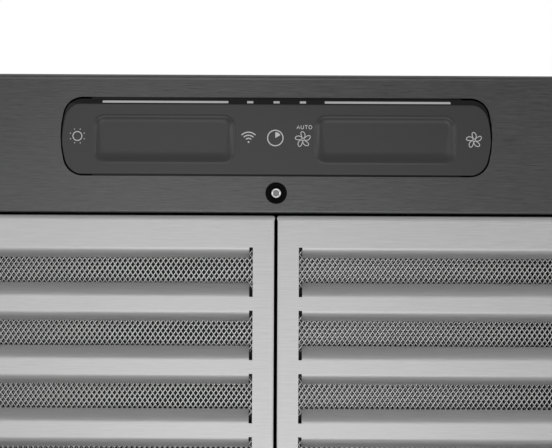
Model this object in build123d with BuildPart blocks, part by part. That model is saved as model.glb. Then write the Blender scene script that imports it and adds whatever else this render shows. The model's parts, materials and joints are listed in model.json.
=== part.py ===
"""Chimney range hood, 760 mm wide, with a touch module and two slotted filters on its underside.

Millimetres. Seen from the front: X to the right, Y to the wall, Z up.
The origin is the middle of the four wall bolts, on the wall plane.
"""

from build123d import *
from math import cos, radians, sin
import os

# Canopy: a straight band, a pyramid above it, and the chimney on top
hood_width = 760.0
hood_depth = 500.0
band_height = 60.0
pyramid_height = 200.0
chimney_width = 330.0
chimney_depth = 290.0
hang_drop = 140.0
sheet = 1.0
fold = 2.0
seam = 0.4
spigot_height = 12.0
slant_share = 0.8
hidden_sides = 24
turned_sides = 32

# Wall bolts and back panel
wall_bolt_span = 400.0
wall_bolt_rise = 100.0
wall_bolt_radius = 4.2
back_sheet = 0.8

# Underside pan and the opening for the filters
strip_depth = 63.7
rim_height = 12.0
pan_fold = 1.2
pan_edge = 0.5
rail_sheet = 1.2
front_rail_height = 18.0
front_rail_foot = 3.2
rear_rail_height = 16.0
rear_rail_foot = 16.0
ear_height = 8.0
ear_thick = 1.2
filter_gap = 0.9
rear_gap = 1.3

# Touch module in the front strip
module_length = 198.7
module_depth = 36.3
module_front = 10.35
module_bow = 3.7
module_corner = 9.2
module_gap = 0.9
facet_run = 2.3
facet_drop = 2.2
facet_lip = 0.2
face_rear_drop = 0.3
face_thick = 2.0
housing_height = 16.0
housing_length = 180.0
housing_wall = 1.6
housing_floor = 3.4
flange_length = 170.0
flange_reach = 2.2
flange_thick = 1.5
dip_length = 62.0
dip_width = 19.8
dip_spacing = 102.5
dip_depth = 0.9
dip_corner = 2.4
dip_slope = 30.0
light_bar_length = 57.7
light_bar_centre = 51.0
light_bar_width = 1.05
light_bar_setback = 1.75
status_light_length = 2.8
status_light_spacing = 12.1
light_height = 5.0
board_length = 168.0
board_depth = 26.0
board_thick = 1.6
cover_thick = 1.5

# Cooking sensor behind the module
sensor_setback = 54.3
sensor_ring_radius = 4.95
sensor_tip_radius = 2.45
sensor_neck_radius = 3.95
sensor_neck_height = 4.0
sensor_flange = 0.9
sensor_tip_drop = 1.7
sensor_cup_radius = 1.5
sensor_cup_depth = 0.8
sensor_probe_height = 9.0

# Lamps in the front strip
lamp_spacing = 480.0
lamp_setback = 32.0
bezel_radius = 25.0
bezel_drop = 1.8
bezel_edge = 1.0
lens_radius = 20.5
lens_thick = 1.6
lamp_hole_radius = 22.5
lamp_body_radius = 25.5
lamp_body_height = 4.0
fin_height = 12.0
fin_thick = 1.6
fin_pitch = 8.0
fin_count = 5

# Slotted filters
split_gap = 1.5
filter_width = 355.0
filter_depth = 370.2
filter_sheet = 0.8
tray_height = 14.0
tray_fold = 1.4
slot_rows = 12
slot_pitch = 29.1
slot_height = 22.8
first_slot = 14.7
slot_margin = 9.85
web_width = 40.0
slit_width = 1.6
lip_radius = 3.2
front_lip_turn = 62.0
front_lip_flat = 4.6
inner_fold = 0.9
rear_lip_turn = 48.0
rear_lip_flat = 5.8
mesh_low = 6.4
mesh_thick = 5.8
grille_pitch_x = 114.0
grille_pitch_y = 118.0
grille_bar = 12.0

# Filter hinge: hooks over a rod behind the pan's rear flange
hinge_setback = 4.5
hinge_rise = 3.2
rod_radius = 1.5
hook_clearance = 0.08
hook_thick = 1.0
hook_width = 20.0
hook_step = 40
hook_steps = 6
notch_width = 26.0
hook_spacing = 220.0

# Filter latch
latch_width = 30.0
latch_length = 40.0
latch_setback = 10.0
latch_depth = 11.0
latch_wall = 1.0
tongue_width = 20.0
tongue_low = 7.0
tongue_thick = 2.6
latch_rim = 2.0
latch_rim_thick = 0.8
grip_setback = 24.0
grip_thick = 7.0
grip_width = 26.0
spring_half = 12.0
spring_thick = 0.5
spring_low = 4.0
spring_height = 4.0

# Blower
wheel_radius = 78.0
wheel_half = 72.0
blade_count = 24
blade_depth = 13.0
blade_thick = 1.0
wheel_setback = 224.5
wheel_height = 175.0
scroll_half = 83.0
scroll_start = 96.0
scroll_growth = 10.0
scroll_sheet = 1.0
outlet_height = 105.0
tongue_angle = 70
volute_step = 10
inlet_radius = 62.0
inlet_flare = 6.0
scroll_flange = 14.0
scroll_flange_length = 120.0
adaptor_height = 55.0
adaptor_wall = 2.0
adaptor_half = 79.0
shaft_radius = 4.0
shaft_clearance = 0.05
shaft_start = -28.0
shaft_length = 120.0
hub_radius = 13.0
hub_start = -24.0
hub_length = 26.0
wheel_sheet = 1.6
motor_near = 10.0
motor_far = 66.0
motor_radius = 44.0
motor_chamfer = 4.0
boss_radius = 18.0
bracket_sheet = 2.0
bracket_arm = 14.0
bracket_plate = 26.0
bush_radius = 7.0

# Duct collar and damper
collar_radius = 75.0
collar_length = 50.0
collar_wall = 1.0
damper_rise = 12.0
flap_radius = 72.6
flap_thick = 0.8
flap_gap = 3.2
seat_width = 3.0
seat_thick = 1.0
knuckle_wall = 0.9
knuckle_length = 12.0
knuckle_places = {"left": (-44.0, 18.0), "right": (-18.0, 44.0)}

# Chimney covers
cover_sheet = 0.8
cover_return = 12.0
lower_cover_height = 420.0
upper_cover_height = 400.0
upper_cover_low = 110.0
upper_cover_gap = 0.6
vent_length = 45.0
vent_width = 5.0
vent_pitch = 18.0
vent_count = 6
vent_drop = 20.0

# Ceiling bracket and screws
bracket_height = 22.0
bracket_hole_span = 200.0
bracket_hole_radius = 2.75
bracket_drop = 4.0
strap = 1.2
arm_length = 32.0
arm_rear = 3.0
head_radius = 3.6
head_height = 1.8
flange_screw_radius = 4.0
flange_screw_height = 3.0

# Capacitor, junction box and cable entry on the blower deck
deck_sheet = 1.2
capacitor_x = -125.0
capacitor_y = -45.0
capacitor_radius = 15.0
capacitor_height = 58.0
box_x = 122.0
box_y = -50.0
box_width = 62.0
box_length = 78.0
box_height = 44.0
box_wall = 1.5
cable_radius = 11.1
bushing_wall = 2.5
bushing_height = 10.0
bushing_below = 3.0
nut_radius = 16.0
nut_height = 3.0

# Levels and places that follow from these
base_z = -hang_drop
band_z = base_z + band_height
peak_z = band_z + pyramid_height
half_width = hood_width / 2
strip_rear = -hood_depth + strip_depth
filter_front = strip_rear + filter_gap
filter_rear = filter_front + filter_depth
filter_middle = (filter_front + filter_rear) / 2
filter_centre = (split_gap + filter_width) / 2
opening_rear = filter_rear + rear_gap
opening_half = split_gap / 2 + filter_width + filter_gap
module_near = -hood_depth + module_front
module_middle = module_near + module_depth / 2
facet_front = module_near + module_gap
face_front = facet_front + facet_run
face_rear = module_near + module_depth - module_gap
sensor_y = -hood_depth + sensor_setback
lamp_y = -hood_depth + lamp_setback
hinge_y = filter_rear + hinge_setback
hinge_z = base_z + hinge_rise
wheel_y = -wheel_setback
wheel_z = base_z + wheel_height
outlet_z = wheel_z + outlet_height
collar_low = outlet_z + adaptor_height
collar_top = collar_low + collar_length
damper_z = collar_low + damper_rise
deck_z = peak_z - 8.0

os.makedirs("parts", exist_ok=True)


def plan(z, half, front, rear, corner):
    """Plan of the hood at one level: square at the wall, bent over at the two front corners."""
    with BuildSketch(Plane.XY.offset(z)) as outline:
        with Locations((0, (front + rear) / 2)):
            Rectangle(2 * half, rear - front)
        chamfer(outline.vertices().group_by(Axis.Y)[0], corner)
    return outline.sketch


def module_plan(z, inset, shift=0.0):
    """Plan of the touch module: straight front and rear edges, bowed ends and round corners."""
    end = module_length / 2 - inset
    corner = end - module_bow
    deep = module_depth / 2 - inset
    with BuildSketch(Plane.XY.offset(z)) as outline:
        with BuildLine():
            Line((-corner, -deep), (corner, -deep))
            ThreePointArc((corner, -deep), (end, 0), (corner, deep))
            Line((corner, deep), (-corner, deep))
            ThreePointArc((-corner, deep), (-end, 0), (-corner, -deep))
        make_face()
        fillet(outline.vertices(), module_corner - inset)
    return Pos(0, module_middle + shift, 0) * outline.sketch


def side_profile(points):
    """Polygon drawn in the Y-Z plane."""
    with BuildSketch(Plane.YZ) as section:
        with BuildLine():
            Polyline(*points, close=True)
        make_face()
    return section.sketch


def frustum(low_z, low, high_z, high):
    """Tapered box between two levels; low and high each hold the half width, the front and the rear."""
    side = side_profile([(low[1], low_z), (low[2], low_z), (high[2], high_z), (high[1], high_z)])
    with BuildSketch(Plane.XZ) as front:
        with BuildLine():
            Polyline((-low[0], low_z), (low[0], low_z), (high[0], high_z), (-high[0], high_z), close=True)
        make_face()
    with BuildPart() as form:
        extrude(side, amount=max(low[0], high[0]), both=True)
        extrude(front.sketch, amount=hood_depth, both=True, mode=Mode.INTERSECT)
    return form.part


def canopy_form(inset, rear, corner):
    """Band and pyramid as one closed form with bent front corners, set in from the outer faces."""
    foot = (half_width - inset, inset - hood_depth, rear)
    head = (chimney_width / 2 - inset, inset - chimney_depth, rear)
    with BuildPart() as form:
        add(frustum(band_z, foot, peak_z, head))
        rising = form.edges().filter_by(Plane.XY, reverse=True)
        chamfer(rising.filter_by_position(Axis.Y, -hood_depth, -sheet), slant_share * corner)
        extrude(plan(base_z, foot[0], foot[1], rear, corner), amount=band_height)
    return form.part


# Canopy: front and side sheets, open at the wall and below, folded in at the chimney
spigot_half = chimney_width / 2 - cover_sheet - seam
spigot_front = -chimney_depth + cover_sheet + seam
ledge_plan = plan(peak_z - sheet, chimney_width / 2, -chimney_depth, 0, fold)
ledge_hole = plan(peak_z - sheet, spigot_half - sheet, spigot_front + sheet, sheet, fold - sheet)
spigot_outer = plan(peak_z - sheet, spigot_half, spigot_front, -cover_sheet - seam, fold - sheet / 2)
canopy_outer = canopy_form(0.0, 0.0, fold)
canopy_inner = canopy_form(sheet, sheet, fold - sheet / 2)
with BuildPart() as canopy_shell:
    add(canopy_outer)
    add(canopy_inner, mode=Mode.SUBTRACT)
    extrude(ledge_plan, amount=sheet)
    extrude(spigot_outer, amount=spigot_height + sheet)
    extrude(ledge_hole, amount=spigot_height + sheet, mode=Mode.SUBTRACT)
canopy_shell.part.label = "canopy_shell"
export_step(canopy_shell.part, "parts/canopy_shell.step")

# Back panel: follows the pyramid's outline and carries the four wall bolts
panel_peak_half = chimney_width / 2 - sheet
with BuildPart() as back_panel:
    with BuildSketch(Plane.XZ):
        with BuildLine():
            Polyline(
                (-half_width + sheet, base_z),
                (half_width - sheet, base_z),
                (half_width - sheet, band_z),
                (panel_peak_half, peak_z - sheet),
                (-panel_peak_half, peak_z - sheet),
                (-half_width + sheet, band_z),
                close=True,
            )
        make_face()
        with GridLocations(wall_bolt_span, wall_bolt_rise, 2, 2):
            Circle(wall_bolt_radius, mode=Mode.SUBTRACT)
    extrude(amount=back_sheet)
back_panel.part.label = "back_panel"
export_step(back_panel.part, "parts/back_panel.step")

# Underside pan: one folded sheet with the filter opening, module cut-out, sensor and lamp holes
pan_half = half_width - sheet - seam
pan_front = -hood_depth + sheet + seam
pan_rear = -back_sheet - seam
opening_middle = (strip_rear + opening_rear) / 2
opening_depth = opening_rear - strip_rear
strike_width = tongue_width + 3
strike_height = tongue_thick + 2
hook_places = [side * filter_centre + hand * hook_spacing / 2 for side in (-1, 1) for hand in (-1, 1)]
notch_depth = 8.0
with BuildPart() as underside_pan:
    extrude(plan(base_z, pan_half, pan_front, pan_rear, fold), amount=rim_height)
    with BuildSketch(Plane.XY.offset(base_z + sheet)):
        add(plan(0.0, pan_half - sheet, pan_front + sheet, pan_rear - sheet, fold - sheet / 2))
        with Locations((0, opening_middle)):
            Rectangle(2 * (opening_half + sheet), opening_depth + 2 * sheet, mode=Mode.SUBTRACT)
    extrude(amount=rim_height, mode=Mode.SUBTRACT)
    with BuildSketch(Plane.XY.offset(base_z)):
        with Locations((0, opening_middle)):
            Rectangle(2 * opening_half, opening_depth)
    extrude(amount=rim_height, mode=Mode.SUBTRACT)
    fillet(underside_pan.faces().sort_by(Axis.Z)[0].inner_wires()[0].edges(), pan_fold)
    chamfer(underside_pan.faces().sort_by(Axis.Z)[0].outer_wire().edges(), pan_edge)
    extrude(module_plan(base_z, 0.0), amount=rim_height, mode=Mode.SUBTRACT)
    with BuildSketch(Plane.XY.offset(base_z)):
        with Locations((0, sensor_y)):
            RegularPolygon(sensor_neck_radius, 12)
        with Locations((-lamp_spacing / 2, lamp_y), (lamp_spacing / 2, lamp_y)):
            RegularPolygon(lamp_hole_radius, hidden_sides)
        with Locations(*[(x, opening_rear + (notch_depth - rear_gap) / 2 - sheet) for x in hook_places]):
            Rectangle(notch_width, notch_depth)
    extrude(amount=rim_height, mode=Mode.SUBTRACT)
    with BuildSketch(Plane.XY.offset(base_z + tongue_low - 1)):
        with Locations((-filter_centre, strip_rear - sheet / 2), (filter_centre, strip_rear - sheet / 2)):
            Rectangle(strike_width, 2 * sheet)
    extrude(amount=strike_height, mode=Mode.SUBTRACT)
underside_pan.part.label = "underside_pan"
export_step(underside_pan.part, "parts/underside_pan.step")

# Front rail: stiffens the strip's rear flange, with a strike window in front of each latch tongue
rail_front = strip_rear - sheet
rail_half = opening_half - 6
with BuildPart() as front_rail:
    with BuildSketch(Plane.YZ):
        with BuildLine():
            Polyline(
                (rail_front, base_z + sheet),
                (rail_front, base_z + front_rail_height),
                (rail_front - rail_sheet, base_z + front_rail_height),
                (rail_front - rail_sheet, base_z + sheet + rail_sheet),
                (rail_front - front_rail_foot, base_z + sheet + rail_sheet),
                (rail_front - front_rail_foot, base_z + sheet),
                close=True,
            )
        make_face()
    extrude(amount=rail_half, both=True)
    with BuildSketch(Plane.XY.offset(base_z + tongue_low - 1)):
        with Locations((0, rail_front - rail_sheet / 2)):
            with GridLocations(2 * filter_centre, 0, 2, 1):
                Rectangle(strike_width, 3 * rail_sheet)
    extrude(amount=strike_height, mode=Mode.SUBTRACT)
front_rail.part.label = "front_rail"
export_step(front_rail.part, "parts/front_rail.step")

# Rear rail: an angle with square-punched ears that hold the hinge rod at each notch
rail_rear = opening_rear + 7.2
ear_front = opening_rear + 1.4
ear_places = [x + side * (notch_width / 2 + 1.5) for x in hook_places for side in (-1, 1)]
with BuildPart() as rear_rail:
    with BuildSketch(Plane.YZ):
        with BuildLine():
            Polyline(
                (rail_rear, base_z + sheet),
                (rail_rear, base_z + rear_rail_height),
                (rail_rear + rail_sheet, base_z + rear_rail_height),
                (rail_rear + rail_sheet, base_z + sheet + rail_sheet),
                (rail_rear + rear_rail_foot, base_z + sheet + rail_sheet),
                (rail_rear + rear_rail_foot, base_z + sheet),
                close=True,
            )
        make_face()
    extrude(amount=rail_half, both=True)
    for ear_x in ear_places:
        with BuildSketch(Plane.YZ.offset(ear_x - ear_thick / 2)):
            with Locations(((ear_front + rail_rear) / 2, base_z + sheet + ear_height / 2)):
                Rectangle(rail_rear - ear_front, ear_height)
            with Locations((hinge_y, hinge_z)):
                Rectangle(2 * rod_radius, 2 * rod_radius, mode=Mode.SUBTRACT)
        extrude(amount=ear_thick)
rear_rail.part.label = "rear_rail"
export_step(rear_rail.part, "parts/rear_rail.step")

# Hinge rod: one wire the length of the opening, round which the filters' hooks turn
with BuildPart() as hinge_rod:
    with BuildSketch(Plane.YZ):
        with Locations((hinge_y, hinge_z)):
            Circle(rod_radius)
    extrude(amount=max(ear_places) + 4, both=True)
hinge_rod.part.label = "hinge_rod"
export_step(hinge_rod.part, "parts/hinge_rod.step")

# Touch module: a black housing with a slanted indicator facet, and a satin face that tilts to the cook
housing_top = base_z + housing_height
face_slope = (facet_drop - face_rear_drop) / (face_rear - face_front)
below = base_z - facet_drop - 1
housing_section = side_profile(
    [
        (facet_front, base_z - facet_lip),
        (face_front, base_z - facet_drop),
        (face_rear + 1, base_z - face_rear_drop + face_slope),
        (face_rear + 1, housing_top),
        (facet_front, housing_top),
    ]
)
face_section = side_profile(
    [
        (face_front - 1, base_z - facet_drop - face_slope),
        (face_rear + 1, base_z - face_rear_drop + face_slope),
        (face_rear + 1, base_z - face_rear_drop + face_slope + face_thick),
        (face_front - 1, base_z - facet_drop - face_slope + face_thick),
    ]
)
with BuildPart() as face_blank:
    extrude(module_plan(below, module_gap), amount=housing_height)
    extrude(module_plan(below, module_gap, facet_run), amount=housing_height, mode=Mode.INTERSECT)
    extrude(face_section, amount=module_length, both=True, mode=Mode.INTERSECT)

light_y = facet_front + light_bar_setback - module_gap + light_bar_width / 2
bar_places = {"left": -light_bar_centre, "right": light_bar_centre}
housing_depth = module_depth - 2 * module_gap
with BuildPart() as touch_housing:
    extrude(module_plan(below, module_gap), amount=base_z + sheet + flange_thick - below)
    extrude(housing_section, amount=module_length, both=True, mode=Mode.INTERSECT)
    with BuildSketch(Plane.XY.offset(base_z + sheet)):
        with Locations((0, module_middle)):
            Rectangle(flange_length, module_depth + 2 * flange_reach)
    extrude(amount=flange_thick)
    with BuildSketch(Plane.XY.offset(base_z + sheet)):
        with Locations((0, module_middle)):
            Rectangle(housing_length, housing_depth)
    extrude(amount=housing_height - sheet)
    with BuildSketch(Plane.XY.offset(base_z + housing_floor)):
        with Locations((0, module_middle)):
            Rectangle(housing_length - 2 * housing_wall, housing_depth - 2 * housing_wall)
    extrude(amount=housing_height, mode=Mode.SUBTRACT)
    add(face_blank.part, mode=Mode.SUBTRACT)
    with BuildSketch(Plane.XY.offset(below)):
        with Locations((-light_bar_centre, light_y), (light_bar_centre, light_y)):
            Rectangle(light_bar_length, light_bar_width)
        with Locations((0, light_y)):
            with GridLocations(status_light_spacing, 0, 3, 1):
                Rectangle(status_light_length, light_bar_width)
    extrude(amount=housing_height, mode=Mode.SUBTRACT)
touch_housing.part.label = "touch_housing"
export_step(touch_housing.part, "parts/touch_housing.step")

face_mid = (face_front + face_rear) / 2
face_mid_z = base_z - (facet_drop + face_rear_drop) / 2
face_plane = Plane(
    origin=(0, face_mid, face_mid_z),
    x_dir=(1, 0, 0),
    z_dir=(0, -face_slope, 1),
)
with BuildPart() as touch_face:
    add(face_blank.part)
    with BuildSketch(face_plane) as dips:
        with GridLocations(dip_spacing, 0, 2, 1):
            Rectangle(dip_length, dip_width)
        chamfer(dips.vertices(), dip_corner)
    extrude(amount=dip_depth, taper=dip_slope, mode=Mode.SUBTRACT)
touch_face.part.label = "touch_face"
export_step(touch_face.part, "parts/touch_face.step")

# Light guides: their lower ends lie in the facet
for side, bar_x in bar_places.items():
    with BuildPart() as light_bar:
        with BuildSketch(Plane.XY.offset(below)):
            with Locations((bar_x, light_y)):
                Rectangle(light_bar_length, light_bar_width)
        extrude(amount=base_z + light_height - below)
        extrude(housing_section, amount=module_length, both=True, mode=Mode.INTERSECT)
    light_bar.part.label = f"light_bar_{side}"
    export_step(light_bar.part, f"parts/light_bar_{side}.step")

with BuildPart() as status_lights:
    with BuildSketch(Plane.XY.offset(below)):
        with Locations((0, light_y)):
            with GridLocations(status_light_spacing, 0, 3, 1):
                Rectangle(status_light_length, light_bar_width)
    extrude(amount=base_z + light_height - below)
    extrude(housing_section, amount=module_length, both=True, mode=Mode.INTERSECT)
status_lights.part.label = "status_lights"
export_step(status_lights.part, "parts/status_lights.step")

# Control board just above the light guides, and the housing's cover
board_z = base_z + light_height + 1
with BuildPart() as control_board:
    with BuildSketch(Plane.XY.offset(board_z)):
        with Locations((0, module_middle + 1)):
            Rectangle(board_length, board_depth)
    extrude(amount=board_thick)
    with BuildSketch(Plane.XY.offset(board_z + board_thick)):
        with Locations((-40, module_middle + 2)):
            Rectangle(12, 12)
        with Locations((30, module_middle + 2)):
            Rectangle(22, 8)
    extrude(amount=3.0)
control_board.part.label = "control_board"
export_step(control_board.part, "parts/control_board.step")

lip_length = housing_length - 2 * housing_wall - seam
lip_depth = housing_depth - 2 * housing_wall - seam
lip_height = 2.5
with BuildPart() as board_cover:
    with BuildSketch(Plane.XY.offset(housing_top)):
        with Locations((0, module_middle)):
            Rectangle(housing_length, housing_depth)
    extrude(amount=cover_thick)
    with BuildSketch(Plane.XY.offset(housing_top - lip_height)):
        with Locations((0, module_middle)):
            Rectangle(lip_length, lip_depth)
            Rectangle(lip_length - 2 * cover_thick, lip_depth - 2 * cover_thick, mode=Mode.SUBTRACT)
    extrude(amount=lip_height)
    with BuildSketch(Plane.XY.offset(housing_top)):
        with Locations((60, module_middle)):
            Rectangle(16, 8)
    extrude(amount=cover_thick, mode=Mode.SUBTRACT)
board_cover.part.label = "board_cover"
export_step(board_cover.part, "parts/board_cover.step")

# Cooking sensor: a black bush with a metal probe that ends in a small cup
with BuildPart() as sensor_bush:
    with BuildSketch(Plane.XY.offset(base_z - sensor_flange)):
        with Locations((0, sensor_y)):
            RegularPolygon(sensor_ring_radius, turned_sides)
    extrude(amount=sensor_flange)
    with BuildSketch(Plane.XY.offset(base_z)):
        with Locations((0, sensor_y)):
            RegularPolygon(sensor_neck_radius, 12)
    extrude(amount=sensor_neck_height)
    with BuildSketch(Plane.XY.offset(base_z - sensor_flange)):
        with Locations((0, sensor_y)):
            RegularPolygon(sensor_tip_radius, hidden_sides)
    extrude(amount=sensor_flange + sensor_neck_height, mode=Mode.SUBTRACT)
sensor_bush.part.label = "sensor_bush"
export_step(sensor_bush.part, "parts/sensor_bush.step")

with BuildPart() as sensor_probe:
    with BuildSketch(Plane.XY.offset(base_z - sensor_tip_drop)):
        with Locations((0, sensor_y)):
            RegularPolygon(sensor_tip_radius, hidden_sides)
    extrude(amount=sensor_tip_drop + sensor_probe_height)
    with BuildSketch(Plane.XY.offset(base_z - sensor_tip_drop)):
        with Locations((0, sensor_y)):
            RegularPolygon(sensor_cup_radius, hidden_sides)
    extrude(amount=sensor_cup_depth, mode=Mode.SUBTRACT)
sensor_probe.part.label = "sensor_probe"
export_step(sensor_probe.part, "parts/sensor_probe.step")

# Lamps: at each end of the front strip a turned bezel, a frosted lens and a finned body
lamp_places = [(-lamp_spacing / 2, lamp_y), (lamp_spacing / 2, lamp_y)]
with BuildPart() as lamp_bezels:
    with BuildSketch(Plane.XY.offset(base_z)):
        with Locations(*lamp_places):
            RegularPolygon(bezel_radius, turned_sides)
    extrude(amount=-bezel_drop)
    chamfer(lamp_bezels.edges().group_by(Axis.Z)[0], bezel_edge)
    with BuildSketch(Plane.XY.offset(base_z)):
        with Locations(*lamp_places):
            RegularPolygon(lens_radius, turned_sides)
    extrude(amount=-bezel_drop, mode=Mode.SUBTRACT)
lamp_bezels.part.label = "lamp_bezels"
export_step(lamp_bezels.part, "parts/lamp_bezels.step")

with BuildPart() as lamp_lenses:
    with BuildSketch(Plane.XY.offset(base_z - lens_thick / 2)):
        with Locations(*lamp_places):
            RegularPolygon(lens_radius, turned_sides)
    extrude(amount=lens_thick)
lamp_lenses.part.label = "lamp_lenses"
export_step(lamp_lenses.part, "parts/lamp_lenses.step")

with BuildPart() as lamp_bodies:
    with BuildSketch(Plane.XY.offset(base_z + sheet)):
        with Locations(*lamp_places):
            RegularPolygon(lamp_body_radius, hidden_sides)
    extrude(amount=lamp_body_height)
    with BuildSketch(Plane.XY.offset(base_z + sheet + lamp_body_height)):
        with Locations(*lamp_places):
            with GridLocations(fin_pitch, 0, fin_count, 1):
                Rectangle(fin_thick, lamp_body_radius)
    extrude(amount=fin_height)
lamp_bodies.part.label = "lamp_bodies"
export_step(lamp_bodies.part, "parts/lamp_bodies.step")

driver_x = 155.0
driver_edge = 1.5
with BuildPart() as lamp_driver:
    with BuildSketch(Plane.XY.offset(base_z + sheet)):
        with Locations((driver_x, lamp_y + 4)):
            Rectangle(78, 32)
    extrude(amount=20)
    chamfer(lamp_driver.edges().group_by(Axis.Z)[-1], driver_edge)
lamp_driver.part.label = "lamp_driver"
export_step(lamp_driver.part, "parts/lamp_driver.step")


def lip_profile(turn, flat, hand):
    """Section of a rolled slot lip: two short bends that leave the sheet, then a straight slope."""
    bend = radians(turn)
    inner = lip_radius - filter_sheet
    outer_mid = (hand * lip_radius * sin(bend / 2), lip_radius * (1 - cos(bend / 2)))
    outer_end = (hand * lip_radius * sin(bend), lip_radius * (1 - cos(bend)))
    inner_end = (hand * inner * sin(bend), lip_radius - inner * cos(bend))
    run = (hand * flat * cos(bend), flat * sin(bend))
    outer_tip = (outer_end[0] + run[0], outer_end[1] + run[1])
    inner_tip = (inner_end[0] + run[0], inner_end[1] + run[1])
    with BuildSketch() as section:
        with BuildLine():
            Polyline(
                (0, 0), outer_mid, outer_end, outer_tip, inner_tip, inner_end, (0, filter_sheet), close=True
            )
        make_face()
    return section.sketch


def hook_profile():
    """Section of a hinge hook: a curl of short bends over the rod and a strap to the filter's rear wall."""
    inner = (rod_radius + hook_clearance) / cos(radians(hook_step / 2))
    outer = inner + hook_thick
    turns = [radians(180 - hook_step * step) for step in range(hook_steps)]
    curl = [(outer * cos(turn), outer * sin(turn)) for turn in turns]
    curl += [(inner * cos(turn), inner * sin(turn)) for turn in reversed(turns)]
    strap_end = -inner - 0.2
    with BuildSketch() as section:
        with BuildLine():
            Polyline(*curl, close=True)
        make_face()
        with Locations(((strap_end - hinge_setback) / 2, 0)):
            Rectangle(hinge_setback + strap_end, hook_thick)
    return section.sketch


# Filters: a slotted tray with rolled lips, a mesh pad, a back grille and a latch pocket each
column_length = (filter_width - 2 * slot_margin - web_width) / 2
column_shift = (web_width + column_length) / 2
row_fronts = [filter_front + first_slot + row * slot_pitch for row in range(slot_rows)]
latch_front = filter_front + latch_setback
latch_middle = latch_front + latch_length / 2
front_lip = lip_profile(front_lip_turn, front_lip_flat, 1)
rear_lip = lip_profile(rear_lip_turn, rear_lip_flat, -1)
back_z = base_z + mesh_low + mesh_thick
for side, centre_x in (("left", -filter_centre), ("right", filter_centre)):
    with BuildPart() as filter_face:
        with BuildSketch(Plane.XY.offset(base_z)):
            with Locations((centre_x, filter_middle)):
                Rectangle(filter_width, filter_depth)
        extrude(amount=tray_height)
        chamfer(filter_face.edges().group_by(Axis.Z)[0], tray_fold)
        with BuildSketch(Plane.XY.offset(base_z + filter_sheet)):
            with Locations((centre_x, filter_middle)):
                Rectangle(filter_width - 2 * filter_sheet, filter_depth - 2 * filter_sheet)
        extrude(amount=tray_height, mode=Mode.SUBTRACT)
        floor_level = base_z + filter_sheet
        inner_edges = filter_face.edges().filter_by_position(Axis.Z, floor_level - 0.1, floor_level + 0.1)
        chamfer(inner_edges, inner_fold)
        with BuildSketch(Plane.XY.offset(base_z)):
            for hand in (-1, 1):
                with Locations(*[(centre_x + hand * column_shift, y + slot_height / 2) for y in row_fronts]):
                    Rectangle(column_length, slot_height)
            with Locations((centre_x, latch_middle)):
                Rectangle(latch_width, latch_length)
        extrude(amount=filter_sheet, mode=Mode.SUBTRACT)
        for hand in (-1, 1):
            lip_start = centre_x + hand * column_shift - column_length / 2 + slit_width
            with BuildSketch(Plane.YZ.offset(lip_start)):
                with Locations(*[(y, base_z) for y in row_fronts]):
                    add(front_lip)
                with Locations(*[(y + slot_height, base_z) for y in row_fronts]):
                    add(rear_lip)
            extrude(amount=column_length - 2 * slit_width)
        for hand in (-1, 1):
            with BuildSketch(Plane.YZ.offset(centre_x + hand * hook_spacing / 2 - hook_width / 2)):
                with Locations((hinge_y, hinge_z)):
                    add(hook_profile())
            extrude(amount=hook_width)
        with BuildSketch(Plane.XZ.offset(-filter_front - 3)):
            with Locations((centre_x, base_z + tongue_low + tongue_thick / 2)):
                Rectangle(tongue_width + 1, tongue_thick + 1)
        extrude(amount=6, mode=Mode.SUBTRACT)
    filter_face.part.label = f"filter_face_{side}"
    export_step(filter_face.part, f"parts/filter_face_{side}.step")

    with BuildPart() as filter_mesh:
        with BuildSketch(Plane.XY.offset(base_z + mesh_low)):
            with Locations((centre_x, filter_middle)):
                Rectangle(filter_width - 2 * filter_sheet - 1, filter_depth - 2 * filter_sheet - 1)
            with Locations((centre_x, latch_middle - 6)):
                Rectangle(latch_width + 1, latch_length + 13, mode=Mode.SUBTRACT)
        extrude(amount=mesh_thick)
    filter_mesh.part.label = f"filter_mesh_{side}"
    export_step(filter_mesh.part, f"parts/filter_mesh_{side}.step")

    with BuildPart() as filter_back:
        with BuildSketch(Plane.XY.offset(back_z)):
            with Locations((centre_x, filter_middle)):
                Rectangle(filter_width - 2 * filter_sheet - 1, filter_depth - 2 * filter_sheet - 1)
                with GridLocations(grille_pitch_x, grille_pitch_y, 3, 3):
                    Rectangle(grille_pitch_x - grille_bar, grille_pitch_y - grille_bar, mode=Mode.SUBTRACT)
        extrude(amount=filter_sheet)
    filter_back.part.label = f"filter_back_{side}"
    export_step(filter_back.part, f"parts/filter_back_{side}.step")

    # Latch pocket let into the web, with a rim on the face and windows for the tongue
    with BuildPart() as latch_housing:
        with BuildSketch(Plane.XY.offset(base_z)):
            with Locations((centre_x, latch_middle)):
                Rectangle(latch_width, latch_length)
        extrude(amount=latch_depth)
        with BuildSketch(Plane.XY.offset(base_z - latch_rim_thick)) as rim:
            with Locations((centre_x, latch_middle)):
                Rectangle(latch_width + 2 * latch_rim, latch_length + 2 * latch_rim)
            chamfer(rim.vertices(), latch_rim)
        extrude(amount=latch_rim_thick)
        with BuildSketch(Plane.XY.offset(base_z - latch_rim_thick)):
            with Locations((centre_x, latch_middle)):
                Rectangle(latch_width - 2 * latch_wall, latch_length - 2 * latch_wall)
        extrude(amount=latch_depth - latch_wall + latch_rim_thick, mode=Mode.SUBTRACT)
        with BuildSketch(Plane.XZ.offset(-latch_front - 3)):
            with Locations((centre_x, base_z + tongue_low + tongue_thick / 2)):
                Rectangle(tongue_width + 0.8, tongue_thick + 0.8)
        extrude(amount=6, mode=Mode.SUBTRACT)
    latch_housing.part.label = f"latch_housing_{side}"
    export_step(latch_housing.part, f"parts/latch_housing_{side}.step")

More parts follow.
